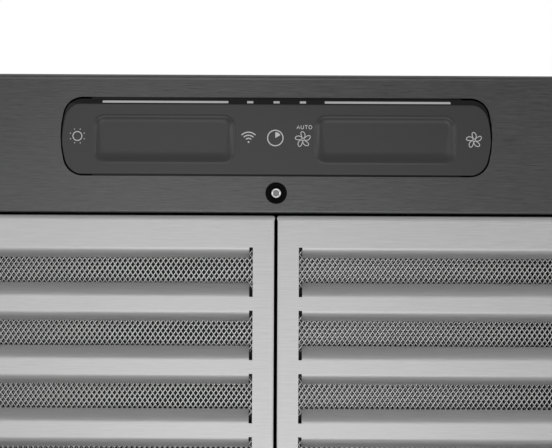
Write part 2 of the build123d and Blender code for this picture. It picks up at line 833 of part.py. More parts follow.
    # Latch slide: a finger bar in the pocket and the tongue that reaches the front rail
    grip_front = latch_front + grip_setback
    grip_rear = grip_front + grip_thick
    tongue_tip = filter_front - 0.6
    with BuildPart() as latch_slide:
        with BuildSketch(Plane.XY.offset(base_z + tongue_low)):
            with Locations((centre_x, (tongue_tip + grip_rear) / 2)):
                Rectangle(tongue_width, grip_rear - tongue_tip)
        extrude(amount=tongue_thick)
        with BuildSketch(Plane.YZ.offset(centre_x - grip_width / 2)):
            with BuildLine():
                Polyline(
                    (grip_front, base_z + tongue_low + tongue_thick),
                    (grip_front + 1.5, base_z + 0.4),
                    (grip_rear - 0.5, base_z + 0.4),
                    (grip_rear, base_z + tongue_low + tongue_thick),
                    close=True,
                )
            make_face()
        extrude(amount=grip_width)
        chamfer(latch_slide.edges().filter_by(Axis.X).group_by(Axis.Y)[0], 0.8)
    latch_slide.part.label = f"latch_slide_{side}"
    export_step(latch_slide.part, f"parts/latch_slide_{side}.step")

    # Leaf spring bowed between the finger bar and the pocket's rear wall
    spring_rear = latch_front + latch_length - latch_wall - 0.3
    spring_bow = spring_rear - grip_rear - 0.4
    spring_line = [
        (centre_x + spring_half * step, spring_rear - spring_bow * (1 - step * step))
        for step in (-1.0, -0.5, 0.0, 0.5, 1.0)
    ]
    with BuildPart() as latch_spring:
        with BuildSketch(Plane.XY.offset(base_z + spring_low)):
            with BuildLine():
                Polyline(*spring_line)
            trace(line_width=spring_thick)
        extrude(amount=spring_height)
    latch_spring.part.label = f"latch_spring_{side}"
    export_step(latch_spring.part, f"parts/latch_spring_{side}.step")

# Blower deck: a plate on the canopy's ledge, cut round the scroll
deck_half = spigot_half - sheet - 0.5
deck_front = spigot_front + sheet + 0.5
deck_rear = -back_sheet - seam
with BuildPart() as blower_deck:
    with BuildSketch(Plane.XY.offset(deck_z)):
        with Locations((0, (deck_front + deck_rear) / 2)):
            Rectangle(2 * deck_half, deck_rear - deck_front)
        with Locations((0, wheel_y + 18)):
            Rectangle(2 * scroll_half + 6, 222, mode=Mode.SUBTRACT)
    extrude(amount=deck_sheet)
blower_deck.part.label = "blower_deck"
export_step(blower_deck.part, "parts/blower_deck.step")


wheel_plane = Plane(origin=(0, wheel_y, wheel_z), x_dir=(0, 1, 0), z_dir=(1, 0, 0))
wheel_axis = Axis((0, wheel_y, wheel_z), (1, 0, 0))


def volute(grow):
    """Scroll outline about the wheel: three arcs of growing radius in short steps, and a straight outlet."""
    centres = ((0, 0), (scroll_growth, 0), (scroll_growth, scroll_growth))
    spans = ((tongue_angle, 180), (180, 270), (270, 360))
    points = []
    for turn, (centre, span) in enumerate(zip(centres, spans)):
        radius = scroll_start + turn * scroll_growth + grow
        for angle in range(span[0], span[1] + 1, volute_step):
            turned = radians(angle)
            points.append((centre[0] + radius * cos(turned), centre[1] + radius * sin(turned)))
        points.pop()
    rear = scroll_growth + radius
    points += [(rear, scroll_growth), (rear, outlet_height), (points[0][0], outlet_height)]
    with BuildSketch(wheel_plane) as outline:
        with BuildLine():
            Polyline(*points, close=True)
        make_face()
    return outline.sketch


def bell_mouth(hand, grow):
    """Rings of the flared inlet, from the side plate's outer face in to the throat."""
    bend = inlet_flare * (1 - cos(radians(45)))
    rings = []
    for depth, flare in ((0.0, inlet_flare), (bend, bend), (inlet_flare, 0.0)):
        with BuildSketch(wheel_plane.offset(hand * (scroll_half + scroll_sheet - depth))) as ring:
            RegularPolygon(inlet_radius + flare + grow, hidden_sides)
        rings.append(ring.sketch)
    return rings


# Scroll: the wrap follows the volute, the two sides carry the flared inlets and the deck flanges
outlet_front = wheel_y + (scroll_start + scroll_sheet) * cos(radians(tongue_angle))
outlet_rear = wheel_y + scroll_start + scroll_sheet + 3 * scroll_growth
outlet_middle = (outlet_front + outlet_rear) / 2
with BuildPart() as scroll_wrap:
    extrude(volute(scroll_sheet), amount=scroll_half, both=True)
    extrude(volute(0.0), amount=scroll_half, both=True, mode=Mode.SUBTRACT)
    with BuildSketch(Plane.XY.offset(outlet_z - 5)):
        with Locations((0, outlet_middle)):
            Rectangle(2 * scroll_half, outlet_rear - outlet_front - 2 * scroll_sheet)
    extrude(amount=10, mode=Mode.SUBTRACT)
scroll_wrap.part.label = "scroll_wrap"
export_step(scroll_wrap.part, "parts/scroll_wrap.step")

for side, hand in (("left", -1), ("right", 1)):
    inner_x = hand * scroll_half
    outer_x = hand * (scroll_half + scroll_sheet)
    bell_outer = bell_mouth(hand, scroll_sheet)
    bell_inner = bell_mouth(hand, 0.0)
    with BuildPart() as scroll_side:
        extrude(Pos(inner_x, 0, 0) * volute(scroll_sheet), amount=hand * scroll_sheet)
        loft(bell_outer, ruled=True)
        loft(bell_inner, ruled=True, mode=Mode.SUBTRACT)
        with BuildSketch(Plane.XY.offset(deck_z + deck_sheet)):
            with Locations((outer_x + hand * scroll_flange / 2, wheel_y + 20)):
                Rectangle(scroll_flange, scroll_flange_length)
        extrude(amount=deck_sheet)
    scroll_side.part.label = f"scroll_side_{side}"
    export_step(scroll_side.part, f"parts/scroll_side_{side}.step")

# Outlet adaptor: a tapered box from the scroll's mouth to a square plate with the collar's round hole
plate_z = collar_low - adaptor_wall
mouth = (scroll_half + scroll_sheet, outlet_front, outlet_rear)
head = (adaptor_half, outlet_middle - adaptor_half, outlet_middle + adaptor_half)
mouth_inner = (mouth[0] - adaptor_wall, mouth[1] + adaptor_wall, mouth[2] - adaptor_wall)
head_inner = (head[0] - adaptor_wall, head[1] + adaptor_wall, head[2] - adaptor_wall)
adaptor_outer = frustum(outlet_z, mouth, plate_z, head)
adaptor_inner = frustum(outlet_z, mouth_inner, plate_z, head_inner)
with BuildPart() as outlet_adaptor:
    add(adaptor_outer)
    add(adaptor_inner, mode=Mode.SUBTRACT)
    with BuildSketch(Plane.XY.offset(plate_z)):
        with Locations((0, outlet_middle)):
            Rectangle(2 * adaptor_half, 2 * adaptor_half)
            RegularPolygon(collar_radius - adaptor_wall, turned_sides, mode=Mode.SUBTRACT)
    extrude(amount=adaptor_wall)
outlet_adaptor.part.label = "outlet_adaptor"
export_step(outlet_adaptor.part, "parts/outlet_adaptor.step")

# Duct collar with a seat for the flaps and a rod across it
collar_inner = collar_radius - collar_wall
with BuildPart() as duct_collar:
    with BuildSketch(Plane.XY.offset(collar_low)):
        with Locations((0, outlet_middle)):
            Circle(collar_radius)
            RegularPolygon(collar_inner, turned_sides, major_radius=False, mode=Mode.SUBTRACT)
    extrude(amount=collar_length)
    with BuildSketch(Plane.XY.offset(damper_z - flap_thick / 2 - 0.2 - seat_thick)):
        with Locations((0, outlet_middle)):
            RegularPolygon(collar_inner, turned_sides, major_radius=False)
            RegularPolygon(collar_inner - seat_width, hidden_sides, mode=Mode.SUBTRACT)
            Rectangle(2 * rod_radius, 2 * collar_radius, mode=Mode.SUBTRACT)
    extrude(amount=seat_thick)
duct_collar.part.label = "duct_collar"
export_step(duct_collar.part, "parts/duct_collar.step")

with BuildPart() as damper_rod:
    with BuildSketch(Plane.XZ.offset(-outlet_middle)):
        with Locations((0, damper_z)):
            Circle(rod_radius)
    extrude(amount=collar_inner, both=True)
damper_rod.part.label = "damper_rod"
export_step(damper_rod.part, "parts/damper_rod.step")

# Damper flaps: half discs whose knuckles turn on the rod, left and right knuckles in turn
knuckle_inner = rod_radius + hook_clearance
knuckle_outer = knuckle_inner + knuckle_wall
for side, hand in (("left", -1), ("right", 1)):
    with BuildPart() as damper_flap:
        with BuildSketch(Plane.XY.offset(damper_z - flap_thick / 2)):
            with Locations((0, outlet_middle)):
                RegularPolygon(flap_radius, turned_sides)
                with Locations((-hand * flap_radius / 2, 0)):
                    Rectangle(flap_radius + 2 * flap_gap, 2 * flap_radius, mode=Mode.SUBTRACT)
                with Locations(*[(hand * flap_gap, y) for y in knuckle_places[side]]):
                    Rectangle(4, knuckle_length)
        extrude(amount=flap_thick)
        for place in knuckle_places[side]:
            with BuildSketch(Plane.XZ.offset(-outlet_middle - place - knuckle_length / 2)):
                with Locations((0, damper_z)):
                    RegularPolygon(knuckle_outer, 8)
            extrude(amount=knuckle_length)
        with BuildSketch(Plane.XZ.offset(-outlet_middle)):
            with Locations((0, damper_z)):
                RegularPolygon(knuckle_inner, 8, major_radius=False)
        extrude(amount=collar_radius, both=True, mode=Mode.SUBTRACT)
    damper_flap.part.label = f"damper_flap_{side}"
    export_step(damper_flap.part, f"parts/damper_flap_{side}.step")

# Blower wheel: a hub and centre disc with two rings of forward-curved blades
blade_root = wheel_radius - blade_depth
blade_tip = wheel_radius - 1.0
blade_bend = blade_root + 5.0
blade_sweep = 3.6
blade_reach = 3.2
with BuildSketch() as blade:
    with BuildLine():
        Polyline(
            (blade_root, 0),
            (blade_bend, -blade_sweep),
            (blade_tip, -blade_reach),
            (blade_bend, blade_thick - blade_sweep),
            (blade_root, blade_thick),
            close=True,
        )
    make_face()
with BuildPart() as impeller:
    with BuildSketch(wheel_plane.offset(wheel_sheet - wheel_half)):
        with PolarLocations(0, blade_count):
            add(blade.sketch)
    extrude(amount=2 * (wheel_half - wheel_sheet))
    with BuildSketch(wheel_plane.offset(-wheel_sheet / 2)):
        RegularPolygon(wheel_radius, hidden_sides)
    extrude(amount=wheel_sheet)
    for ring_x in (-wheel_half, wheel_half - wheel_sheet):
        with BuildSketch(wheel_plane.offset(ring_x)):
            RegularPolygon(wheel_radius, hidden_sides)
            RegularPolygon(blade_root, hidden_sides, mode=Mode.SUBTRACT)
        extrude(amount=wheel_sheet)
    with BuildSketch(wheel_plane.offset(hub_start)):
        RegularPolygon(hub_radius, 12)
    extrude(amount=hub_length)
    with BuildSketch(wheel_plane.offset(hub_start)):
        RegularPolygon(shaft_radius, 12, major_radius=False)
    extrude(amount=hub_length, mode=Mode.SUBTRACT)
impeller.part.label = "impeller"
export_step(impeller.part, "parts/impeller.step")

with BuildPart() as rotor_shaft:
    with BuildSketch(wheel_plane.offset(shaft_start)):
        Circle(shaft_radius)
    extrude(amount=shaft_length)
rotor_shaft.part.label = "rotor_shaft"
export_step(rotor_shaft.part, "parts/rotor_shaft.step")

# Motor inside the wheel's right half, held by a three-armed bracket on rubber bushes
bracket_x = scroll_half + scroll_sheet + bracket_sheet
with BuildPart() as motor_body:
    with BuildSketch(wheel_plane.offset(motor_near)):
        RegularPolygon(motor_radius, hidden_sides)
    extrude(amount=motor_far - motor_near)
    chamfer(motor_body.edges().filter_by(Axis.X, reverse=True), motor_chamfer)
    with BuildSketch(wheel_plane.offset(motor_far)):
        RegularPolygon(boss_radius, 12)
    extrude(amount=bracket_x - motor_far)
    with BuildSketch(wheel_plane.offset(motor_near)):
        RegularPolygon(shaft_radius + shaft_clearance, 12, major_radius=False)
    extrude(amount=bracket_x - motor_near, mode=Mode.SUBTRACT)
motor_body.part.label = "motor_body"
export_step(motor_body.part, "parts/motor_body.step")

bush_circle = inlet_radius + inlet_flare + 10
with BuildPart() as motor_bracket:
    with BuildSketch(wheel_plane.offset(bracket_x)):
        RegularPolygon(bracket_plate, 6)
        with PolarLocations(0, 3, start_angle=-90):
            with Locations(((bush_circle + bush_radius) / 2, 0)):
                Rectangle(bush_circle + bush_radius, bracket_arm)
        RegularPolygon(2 * shaft_radius, 12, mode=Mode.SUBTRACT)
    extrude(amount=bracket_sheet)
motor_bracket.part.label = "motor_bracket"
export_step(motor_bracket.part, "parts/motor_bracket.step")

with BuildPart() as motor_bushes:
    with BuildSketch(wheel_plane.offset(scroll_half + scroll_sheet)):
        with PolarLocations(bush_circle, 3, start_angle=-90):
            RegularPolygon(bush_radius, 8)
    extrude(amount=bracket_sheet)
motor_bushes.part.label = "motor_bushes"
export_step(motor_bushes.part, "parts/motor_bushes.step")

# Capacitor and junction box on the deck, behind the scroll's flanges
deck_top = deck_z + deck_sheet
with BuildPart() as capacitor:
    with BuildSketch(Plane.XY.offset(deck_top)):
        with Locations((capacitor_x, capacitor_y)):
            RegularPolygon(capacitor_radius, hidden_sides)
    extrude(amount=capacitor_height)
capacitor.part.label = "capacitor"
export_step(capacitor.part, "parts/capacitor.step")

with BuildPart() as junction_box:
    with BuildSketch(Plane.XY.offset(deck_top)):
        with Locations((box_x, box_y)):
            Rectangle(box_width, box_length)
    extrude(amount=box_height)
    offset(amount=-box_wall, openings=junction_box.faces().sort_by(Axis.Z)[-1])
junction_box.part.label = "junction_box"
export_step(junction_box.part, "parts/junction_box.step")

box_top = deck_top + box_height
bushing_radius = cable_radius + bushing_wall
with BuildPart() as junction_cover:
    with BuildSketch(Plane.XY.offset(box_top)):
        with Locations((box_x, box_y)):
            Rectangle(box_width + 2, box_length + 2)
            RegularPolygon(bushing_radius, 8, mode=Mode.SUBTRACT)
    extrude(amount=box_wall)
junction_cover.part.label = "junction_cover"
export_step(junction_cover.part, "parts/junction_cover.step")

# Cable bushing: the mouth for the supply cable in the junction cover
with BuildPart() as cable_bushing:
    with BuildSketch(Plane.XY.offset(box_top - bushing_below)):
        with Locations((box_x, box_y)):
            RegularPolygon(bushing_radius, 8)
    extrude(amount=bushing_height)
    with BuildSketch(Plane.XY.offset(box_top + box_wall)):
        with Locations((box_x, box_y)):
            RegularPolygon(nut_radius, 6)
    extrude(amount=nut_height)
    with BuildSketch(Plane.XY.offset(box_top - bushing_below)):
        with Locations((box_x, box_y)):
            Circle(cable_radius)
    extrude(amount=bushing_height, mode=Mode.SUBTRACT)
cable_bushing.part.label = "cable_bushing"
export_step(cable_bushing.part, "parts/cable_bushing.step")


def cover_plan(z, half, front, rear):
    """Plan of a chimney cover: front, sides and two returns at the wall."""
    with BuildSketch(Plane.XY.offset(z)) as outline:
        add(plan(0.0, half, front, rear, fold))
        add(
            plan(0.0, half - cover_sheet, front + cover_sheet, rear - cover_sheet, fold - cover_sheet / 2),
            mode=Mode.SUBTRACT,
        )
        with Locations((0, rear - cover_sheet / 2)):
            Rectangle(2 * (half - cover_return), 2 * cover_sheet, mode=Mode.SUBTRACT)
    return outline.sketch


# Chimney: the lower cover stands on the canopy, the upper one slides inside it
screw_z = peak_z + 6.0
screw_y = -chimney_depth / 2
with BuildPart() as chimney_lower:
    extrude(cover_plan(peak_z, chimney_width / 2, -chimney_depth, 0), amount=lower_cover_height)
chimney_lower.part.label = "chimney_lower"
export_step(chimney_lower.part, "parts/chimney_lower.step")

upper_half = chimney_width / 2 - cover_sheet - upper_cover_gap
upper_front = -chimney_depth + cover_sheet + upper_cover_gap
upper_rear = -cover_sheet - upper_cover_gap
upper_z = peak_z + upper_cover_low
upper_top = upper_z + upper_cover_height
with BuildPart() as chimney_upper:
    extrude(cover_plan(upper_z, upper_half, upper_front, upper_rear), amount=upper_cover_height)
    with BuildSketch(Plane.YZ):
        with Locations((upper_front / 2, upper_top - vent_drop - vent_length / 2)):
            with GridLocations(vent_pitch, 0, vent_count, 1):
                Rectangle(vent_width, vent_length)
    extrude(amount=chimney_width, both=True, mode=Mode.SUBTRACT)
chimney_upper.part.label = "chimney_upper"
export_step(chimney_upper.part, "parts/chimney_upper.step")

# Ceiling bracket: a strap against the wall with an arm to each side of the upper cover
bracket_top = upper_top - bracket_drop
arm_x = upper_half - cover_sheet
strap_half = upper_half - cover_return - 0.5
step_rear = 4.0
with BuildPart() as ceiling_bracket:
    with BuildSketch(Plane.XY.offset(bracket_top - bracket_height)):
        with Locations((0, -strap / 2)):
            Rectangle(2 * strap_half, strap)
        for hand in (-1, 1):
            with Locations((hand * (strap_half - strap / 2), -step_rear / 2)):
                Rectangle(strap, step_rear)
            with Locations((hand * (strap_half - strap + arm_x) / 2, strap / 2 - step_rear)):
                Rectangle(arm_x - strap_half + strap, strap)
            with Locations((hand * (arm_x - strap / 2), -arm_rear - arm_length / 2)):
                Rectangle(strap, arm_length)
    extrude(amount=bracket_height)
    with BuildSketch(Plane.XZ):
        with Locations((0, bracket_top - bracket_height / 2)):
            with GridLocations(bracket_hole_span, 0, 2, 1):
                Circle(bracket_hole_radius)
    extrude(amount=step_rear, mode=Mode.SUBTRACT)
ceiling_bracket.part.label = "ceiling_bracket"
export_step(ceiling_bracket.part, "parts/ceiling_bracket.step")

# Screws: two beside the chimney's foot, four through the scroll's flanges
with BuildPart() as chimney_screws:
    with BuildSketch(Plane.YZ.offset(chimney_width / 2)):
        with Locations((screw_y, screw_z)):
            RegularPolygon(head_radius, 12)
    extrude(amount=head_height)
    mirror(about=Plane.YZ)
chimney_screws.part.label = "chimney_screws"
export_step(chimney_screws.part, "parts/chimney_screws.step")

flange_middle = 2 * (scroll_half + scroll_sheet) + scroll_flange + 2
with BuildPart() as blower_screws:
    with BuildSketch(Plane.XY.offset(deck_top + deck_sheet)):
        with Locations((0, wheel_y + 20)):
            with GridLocations(flange_middle, 80, 2, 2):
                RegularPolygon(flange_screw_radius, 6)
    extrude(amount=flange_screw_height)
blower_screws.part.label = "blower_screws"
export_step(blower_screws.part, "parts/blower_screws.step")
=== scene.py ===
import json
import math

import bpy
import numpy as np
from bpy.props import FloatProperty, FloatVectorProperty, IntProperty, PointerProperty
from bpy.types import Operator, Panel, PropertyGroup
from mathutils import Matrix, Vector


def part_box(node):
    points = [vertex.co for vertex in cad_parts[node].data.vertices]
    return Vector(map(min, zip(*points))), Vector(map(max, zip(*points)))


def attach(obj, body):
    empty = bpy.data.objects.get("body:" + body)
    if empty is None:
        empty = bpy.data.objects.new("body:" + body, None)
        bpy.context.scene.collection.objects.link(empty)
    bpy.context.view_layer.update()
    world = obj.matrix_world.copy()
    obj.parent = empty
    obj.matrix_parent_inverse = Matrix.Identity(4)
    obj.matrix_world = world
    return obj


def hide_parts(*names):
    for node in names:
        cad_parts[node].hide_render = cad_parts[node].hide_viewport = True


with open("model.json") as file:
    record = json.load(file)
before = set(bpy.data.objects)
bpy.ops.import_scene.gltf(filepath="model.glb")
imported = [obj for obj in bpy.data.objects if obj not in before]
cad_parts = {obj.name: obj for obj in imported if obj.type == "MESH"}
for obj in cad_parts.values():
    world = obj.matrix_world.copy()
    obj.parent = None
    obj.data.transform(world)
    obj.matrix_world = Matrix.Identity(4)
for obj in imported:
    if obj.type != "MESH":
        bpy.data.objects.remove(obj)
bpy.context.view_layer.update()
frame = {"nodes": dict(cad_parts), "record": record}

# Height that a full step of a finish's grain stands for, in metres
GRAIN_DEPTH = 0.0001

bl_info = {
    "name": "Range hood looks",
    "version": (1, 0, 0),
    "blender": (4, 5, 0),
    "location": "View3D > Sidebar > Range hood",
    "description": "Builds the visual pieces, the finishes and the stage of a chimney range hood",
    "category": "Object",
}


def length(label, words, default):
    """A length property in metres."""
    kind = {"precision": 5, "unit": "LENGTH", "subtype": "DISTANCE"}
    return FloatProperty(name=label, description=words, default=default, **kind)


def angle(label, words, degrees):
    """An angle property, given in degrees and kept in radians."""
    kind = {"unit": "ROTATION", "subtype": "ANGLE"}
    return FloatProperty(name=label, description=words, default=math.radians(degrees), **kind)


def factor(label, words, default, top=1.0):
    """A plain number between 0 and the top."""
    return FloatProperty(name=label, description=words, default=default, min=0.0, max=top)


def count(label, words, default):
    """A whole number."""
    return IntProperty(name=label, description=words, default=default, min=1)


def colour(label, words, *default):
    """A colour property; one number alone is a grey."""
    kind = {"min": 0.0, "max": 1.0, "subtype": "COLOR"}
    value = default if len(default) == 3 else default * 3
    return FloatVectorProperty(name=label, description=words, default=value, **kind)


class HoodFilterSettings(PropertyGroup):
    """Slotted filter trays with rolled lips."""

    width: length("Width", "Width of one tray", 0.355)
    depth: length("Depth", "Depth of one tray", 0.3702)
    sheet: length("Sheet", "Thickness of the tray's sheet", 0.0008)
    side_fold: length("Side fold", "Reach of the folds at the tray's sides", 0.0007)
    end_fold: length("End fold", "Reach of the folds at the tray's front and rear", 0.0024)
    fold_rise: factor("Fold rise", "Height of a fold over its reach", 0.4)
    tray_height: length("Tray height", "Height of the tray's walls", 0.014)
    slot_rows: count("Slot rows", "Rows of slots in a tray", 12)
    slot_pitch: length("Slot pitch", "Distance from row to row", 0.0291)
    slot_height: length("Slot height", "Depth of a slot in the face", 0.0228)
    first_slot: length("First slot", "From the tray's front edge to the first slot", 0.0147)
    slot_margin: length("Side margin", "From the tray's side to the slots", 0.00985)
    web_width: length("Web width", "Plain middle between the two slot columns", 0.040)
    slit_width: length("Slit width", "Relief cut at each end of a lip", 0.0016)
    front_lip_radius: length("Front lip radius", "Outer radius of the front lip's roll", 0.0038)
    rear_lip_radius: length("Rear lip radius", "Outer radius of the rear lip's roll", 0.0046)
    front_lip_turn: angle("Front lip turn", "How far the front lip is rolled in", 48.0)
    front_lip_flat: length("Front lip flat", "Straight part of the front lip", 0.0031)
    rear_lip_turn: angle("Rear lip turn", "How far the rear lip is rolled in", 43.0)
    rear_lip_flat: length("Rear lip flat", "Straight part of the rear lip", 0.0044)
    latch_width: length("Latch width", "Cut-out for the latch pocket, across", 0.030)
    latch_length: length("Latch length", "Cut-out for the latch pocket, front to rear", 0.040)
    latch_setback: length("Latch setback", "From the tray's front edge to the latch cut-out", 0.010)
    hook_spacing: length("Hook spacing", "Distance between a tray's two hinge hooks", 0.220)
    hook_width: length("Hook width", "Width of a hinge hook", 0.020)
    hook_radius: length("Hook radius", "Middle radius of a hook's curl", 0.00208)
    hook_reach: length("Hook reach", "From the tray's rear wall to the hinge axis", 0.0045)
    hook_sheet: length("Hook sheet", "Thickness of a hook's strap", 0.00096)


class HoodMeshSettings(PropertyGroup):
    """Layers of expanded aluminium inside the filters."""

    diamond_x: length("Diamond across", "Repeat of the mesh from side to side", 0.00235)
    diamond_y: length("Diamond deep", "Repeat of the mesh from front to rear", 0.0034)
    strand_half: length("Strand half", "Half a strand's width, measured front to rear", 0.00031)
    crown: length("Crown", "How far a strand's middle stands out", 0.00022)
    step: length("Step", "How far a strand rises and falls from bond to bond", 0.00030)
    first_layer: length("First layer", "Height of the lowest layer above the tray's face", 0.0070)
    layer_gap: length("Layer gap", "Distance between two layers", 0.0016)
    second_stretch: factor("Second stretch", "How much wider the second layer's diamonds are", 0.013)
    second_spread: factor("Second spread", "How much taller the second layer's diamonds are", 0.13)
    second_drift_x: factor("Second drift across", "Shift of the second layer, in diamonds", 0.31)
    second_drift_y: factor("Second drift deep", "Shift of the second layer, in rows of strands", 0.42)
    # Painted shade: the second layer's colour is darkened by this share because it lies deeper, not because
    # it is a darker metal.
    second_painted_shade: factor("Second shade", "Light that the second layer keeps", 0.45)
    # Painted shade: the flat core sheet is coloured nearly black by this share, standing for the shade among
    # the deeper layers.
    core_painted_shade: factor("Core shade", "Light that the closely packed inner layers keep", 0.025)
    window_reach: length("Window reach", "How far the fine layers reach past a slot's clear opening", 0.0026)
    side_reach: length("Side reach", "How far the fine layers reach past a slot's ends", 0.002)
    top_cover: length("Top cover", "From the top layer to the top of the filter's pad", 0.0012)


class HoodTouchSettings(PropertyGroup):
    """Satin face of the touch module with its two finger dips."""

    length: length("Length", "Length of the module's recess", 0.1987)
    depth: length("Depth", "Depth of the module's recess", 0.0363)
    setback: length("Setback", "From the hood's front edge to the recess", 0.01035)
    bow: length("Bow", "How far the module's ends bow out", 0.0037)
    corner: length("Corner", "Radius of the recess's corners", 0.0092)
    gap: length("Gap", "Dark gap round the module", 0.00065)
    facet_run: length("Facet run", "Depth of the slanted indicator facet", 0.0023)
    facet_drop: length("Facet drop", "How far the face's front edge stands out", 0.0022)
    rear_drop: length("Rear drop", "How far the face's rear edge stands out", 0.0003)
    edge_round: length("Edge round", "Radius of the face's edges", 0.0006)
    face_sheet: length("Face sheet", "Thickness of the face's shell", 0.0008)
    dip_length: length("Dip length", "Length of a finger dip", 0.0625)
    dip_width: length("Dip width", "Width of a finger dip", 0.0198)
    dip_spacing: length("Dip spacing", "Distance between the two dips' middles", 0.1016)
    dip_shift: length("Dip shift", "How far both dips stand to the left of the middle", 0.0008)
    dip_corner: length("Dip corner", "Radius of a dip's corners", 0.0042)
    dip_depth: length("Dip depth", "Depth of a finger dip", 0.00055)
    front_wall: length("Front wall", "Width of a dip's sloping wall at the front", 0.0024)
    rear_wall: length("Rear wall", "Width of a dip's sloping wall at the rear", 0.0058)
    bead_width: length("Bead width", "Width of the low bead round a dip", 0.0014)
    bead_height: length("Bead height", "How far the bead stands out", 0.00010)
    end_bead_height: length("End bead height", "How far the bead stands out at a dip's ends", 0.00026)


class HoodSignSettings(PropertyGroup):
    """Signs printed on the touch face."""

    line: length("Line", "Width of a printed line", 0.00040)
    raise_by: length("Raise", "How far the print stands off the face", 0.00002)
    lamp_x: length("Lamp sign", "Place of the lamp sign from the middle", -0.0914)
    waves_x: length("Waves sign", "Place of the sensor sign from the middle", -0.0128)
    timer_x: length("Timer sign", "Place of the timer sign from the middle", -0.0005)
    auto_x: length("Automatic sign", "Place of the automatic fan sign from the middle", 0.0122)
    fan_x: length("Fan sign", "Place of the fan sign from the middle", 0.0908)


class HoodSensorSettings(PropertyGroup):
    """Cooking sensor: a bush, a probe and a window."""

    bush_radius: length("Bush radius", "Outer radius of the black bush", 0.00495)
    bush_stand: length("Bush stand", "How far the bush stands out", 0.0009)
    bush_round: length("Bush round", "Radius of the bush's outer edge", 0.00045)
    bore: length("Bore", "Radius of the bush's hole", 0.00235)
    bore_bevel: length("Bore bevel", "Width of the bevel at the hole's edge", 0.00025)
    sleeve: length("Sleeve", "Radius of the bush above the pan, and how far it goes up", 0.0040)
    probe_radius: length("Probe radius", "Outer radius of the metal probe", 0.0023)
    probe_stand: length("Probe stand", "How far the probe stands out", 0.0017)
    probe_round: length("Probe round", "Radius of the probe's outer edge", 0.0005)
    window_radius: length("Window radius", "Radius of the grey window", 0.0012)
    window_stand: length("Window stand", "How far the window's middle stands out", 0.0012)


class HoodHemSettings(PropertyGroup):
    """Hem over the seam at the front edge."""

    reach: length("Reach", "Depth of the hem's rounded front", 0.0012)
    rise: length("Rise", "Height of the hem's rounded front", 0.0006)
    stand: length("Stand", "How far the hem stands out of the strip", 0.00006)
    inset: length("Inset", "From the hood's front to the hem", 0.00005)
    flat: length("Flat", "From the hood's front to the end of the hem's flat", 0.0016)
    width: length("Width", "From the hood's front to the end of the hem", 0.0024)
    sunk: length("Sunk", "How far the hem's end lies in the strip", 0.00002)


class HoodLampSettings(PropertyGroup):
    """Both lamps."""

    bezel_round: length("Bezel round", "Width of a bezel's rounded crown", 0.0037)
    bezel_stand: length("Bezel stand", "How far a bezel stands out", 0.0018)
    bezel_slope: length("Bezel slope", "Width of a bezel's slope down to its lens", 0.0008)
    lens_radius: length("Lens radius", "Radius of a lens", 0.0205)
    lens_stand: length("Lens stand", "How far a lens's middle stands out", 0.0008)
    lens_dome: length("Lens dome", "How much flatter a lens stands at its edge", 0.0003)


class HoodColourSettings(PropertyGroup):
    """Colours of the finishes, each under the name of its slot."""

    canopy_steel: colour("Canopy steel", "Dark steel of the canopy and the chimney", 0.15, 0.15, 0.152)
    strip_steel: colour("Dark strip steel", "Dark brushed steel of the underside", 0.099, 0.099, 0.101)
    filter_steel: colour("Filter steel", "Brushed steel of the filters", 0.51)
    zinc_steel: colour("Zinc steel", "Zinc-coated sheet of the insides", 0.50, 0.51, 0.52)
    bright_steel: colour("Bright steel", "Small turned pieces and screws", 0.68)
    mesh_aluminium: colour("Mesh aluminium", "Strands of the filters' mesh", 0.80)
    cast_aluminium: colour("Cast aluminium", "Cast metal of the motor's mount", 0.48, 0.48, 0.49)
    module_face: colour("Module face", "Satin face of the touch module", 0.031, 0.031, 0.032)
    black_gloss: colour("Gloss black", "Indicator band of the touch module", 0.006)
    black_plastic: colour("Black plastic", "Sensor bush and other black mouldings", 0.003)
    grey_plastic: colour("Grey plastic", "Housings and the sensor's window", 0.27, 0.27, 0.28)
    wheel_plastic: colour("Wheel plastic", "Blower wheel and dampers", 0.055, 0.055, 0.06)
    black_rubber: colour("Black rubber", "Bushes and the cable bushing", 0.016)
    board_green: colour("Board", "Circuit boards", 0.02, 0.10, 0.045)
    motor_paint: colour("Motor paint", "Paint of the motor's case", 0.05, 0.05, 0.052)
    light_guide: colour("Light guide", "Milky light guides of the touch module", 0.25)
    frosted_lens: colour("Frosted lens", "Lenses of the lamps", 0.78, 0.78, 0.76)
    sign_ink: colour("Sign ink", "Ink of the printed signs", 0.62)
    dust: colour("Dust", "Thin dust inside the hood", 0.30, 0.29, 0.27)
    floor: colour("Floor", "Pale floor of the stage", 0.82)


class HoodStageSettings(PropertyGroup):
    """Camera, light and floor."""

    lens: FloatProperty(name="Lens", description="Focal length in millimetres", default=120.0, min=10.0)
    sensor: FloatProperty(name="Sensor", description="Sensor width in millimetres", default=36.0, min=1.0)
    view_width: length("View width", "Width of the view on the hood's underside", 0.25392)
    view_y: length("View place", "Where the middle of the view is, from the wall", -0.4315)
    roll: angle("Roll", "Turn of the camera about its own axis", -0.27)
    floor_z: length("Floor", "Height of the floor", -1.62)
    floor_size: length("Floor size", "Side of the floor", 30.0)
    world_light: factor("World light", "Strength of the even light", 0.70, 4.0)
    key_power: factor("Key power", "Power of the soft light below the hood, in watts", 0.5, 500.0)
    key_x: length("Key across", "Place of the soft light, from the hood's middle", -0.06)
    key_y: length("Key place", "Place of the soft light, from the wall", -0.34)
    key_drop: length("Key drop", "How far the soft light is below the hood", 0.88)
    key_size: length("Key size", "Depth of the soft light", 0.32)
    key_aspect: factor("Key aspect", "Width of the soft light over its depth", 1.4, 10.0)
    side_x: length("Side place", "Place of the lights at both sides, from the hood's middle", 0.72)
    side_power: factor("Side power", "Power of each light at the sides, in watts", 1.2, 500.0)
    fill_y: length("Fill place", "Place of the second soft light, from the wall", -0.06)
    fill_power: factor("Fill power", "Power of the second soft light, near the wall, in watts", 0.75, 500.0)


def stacked(*parts):
    """Arrays and numbers spread to one shape and put side by side: points from their coordinates."""
    return np.stack(np.broadcast_arrays(*parts), axis=-1)


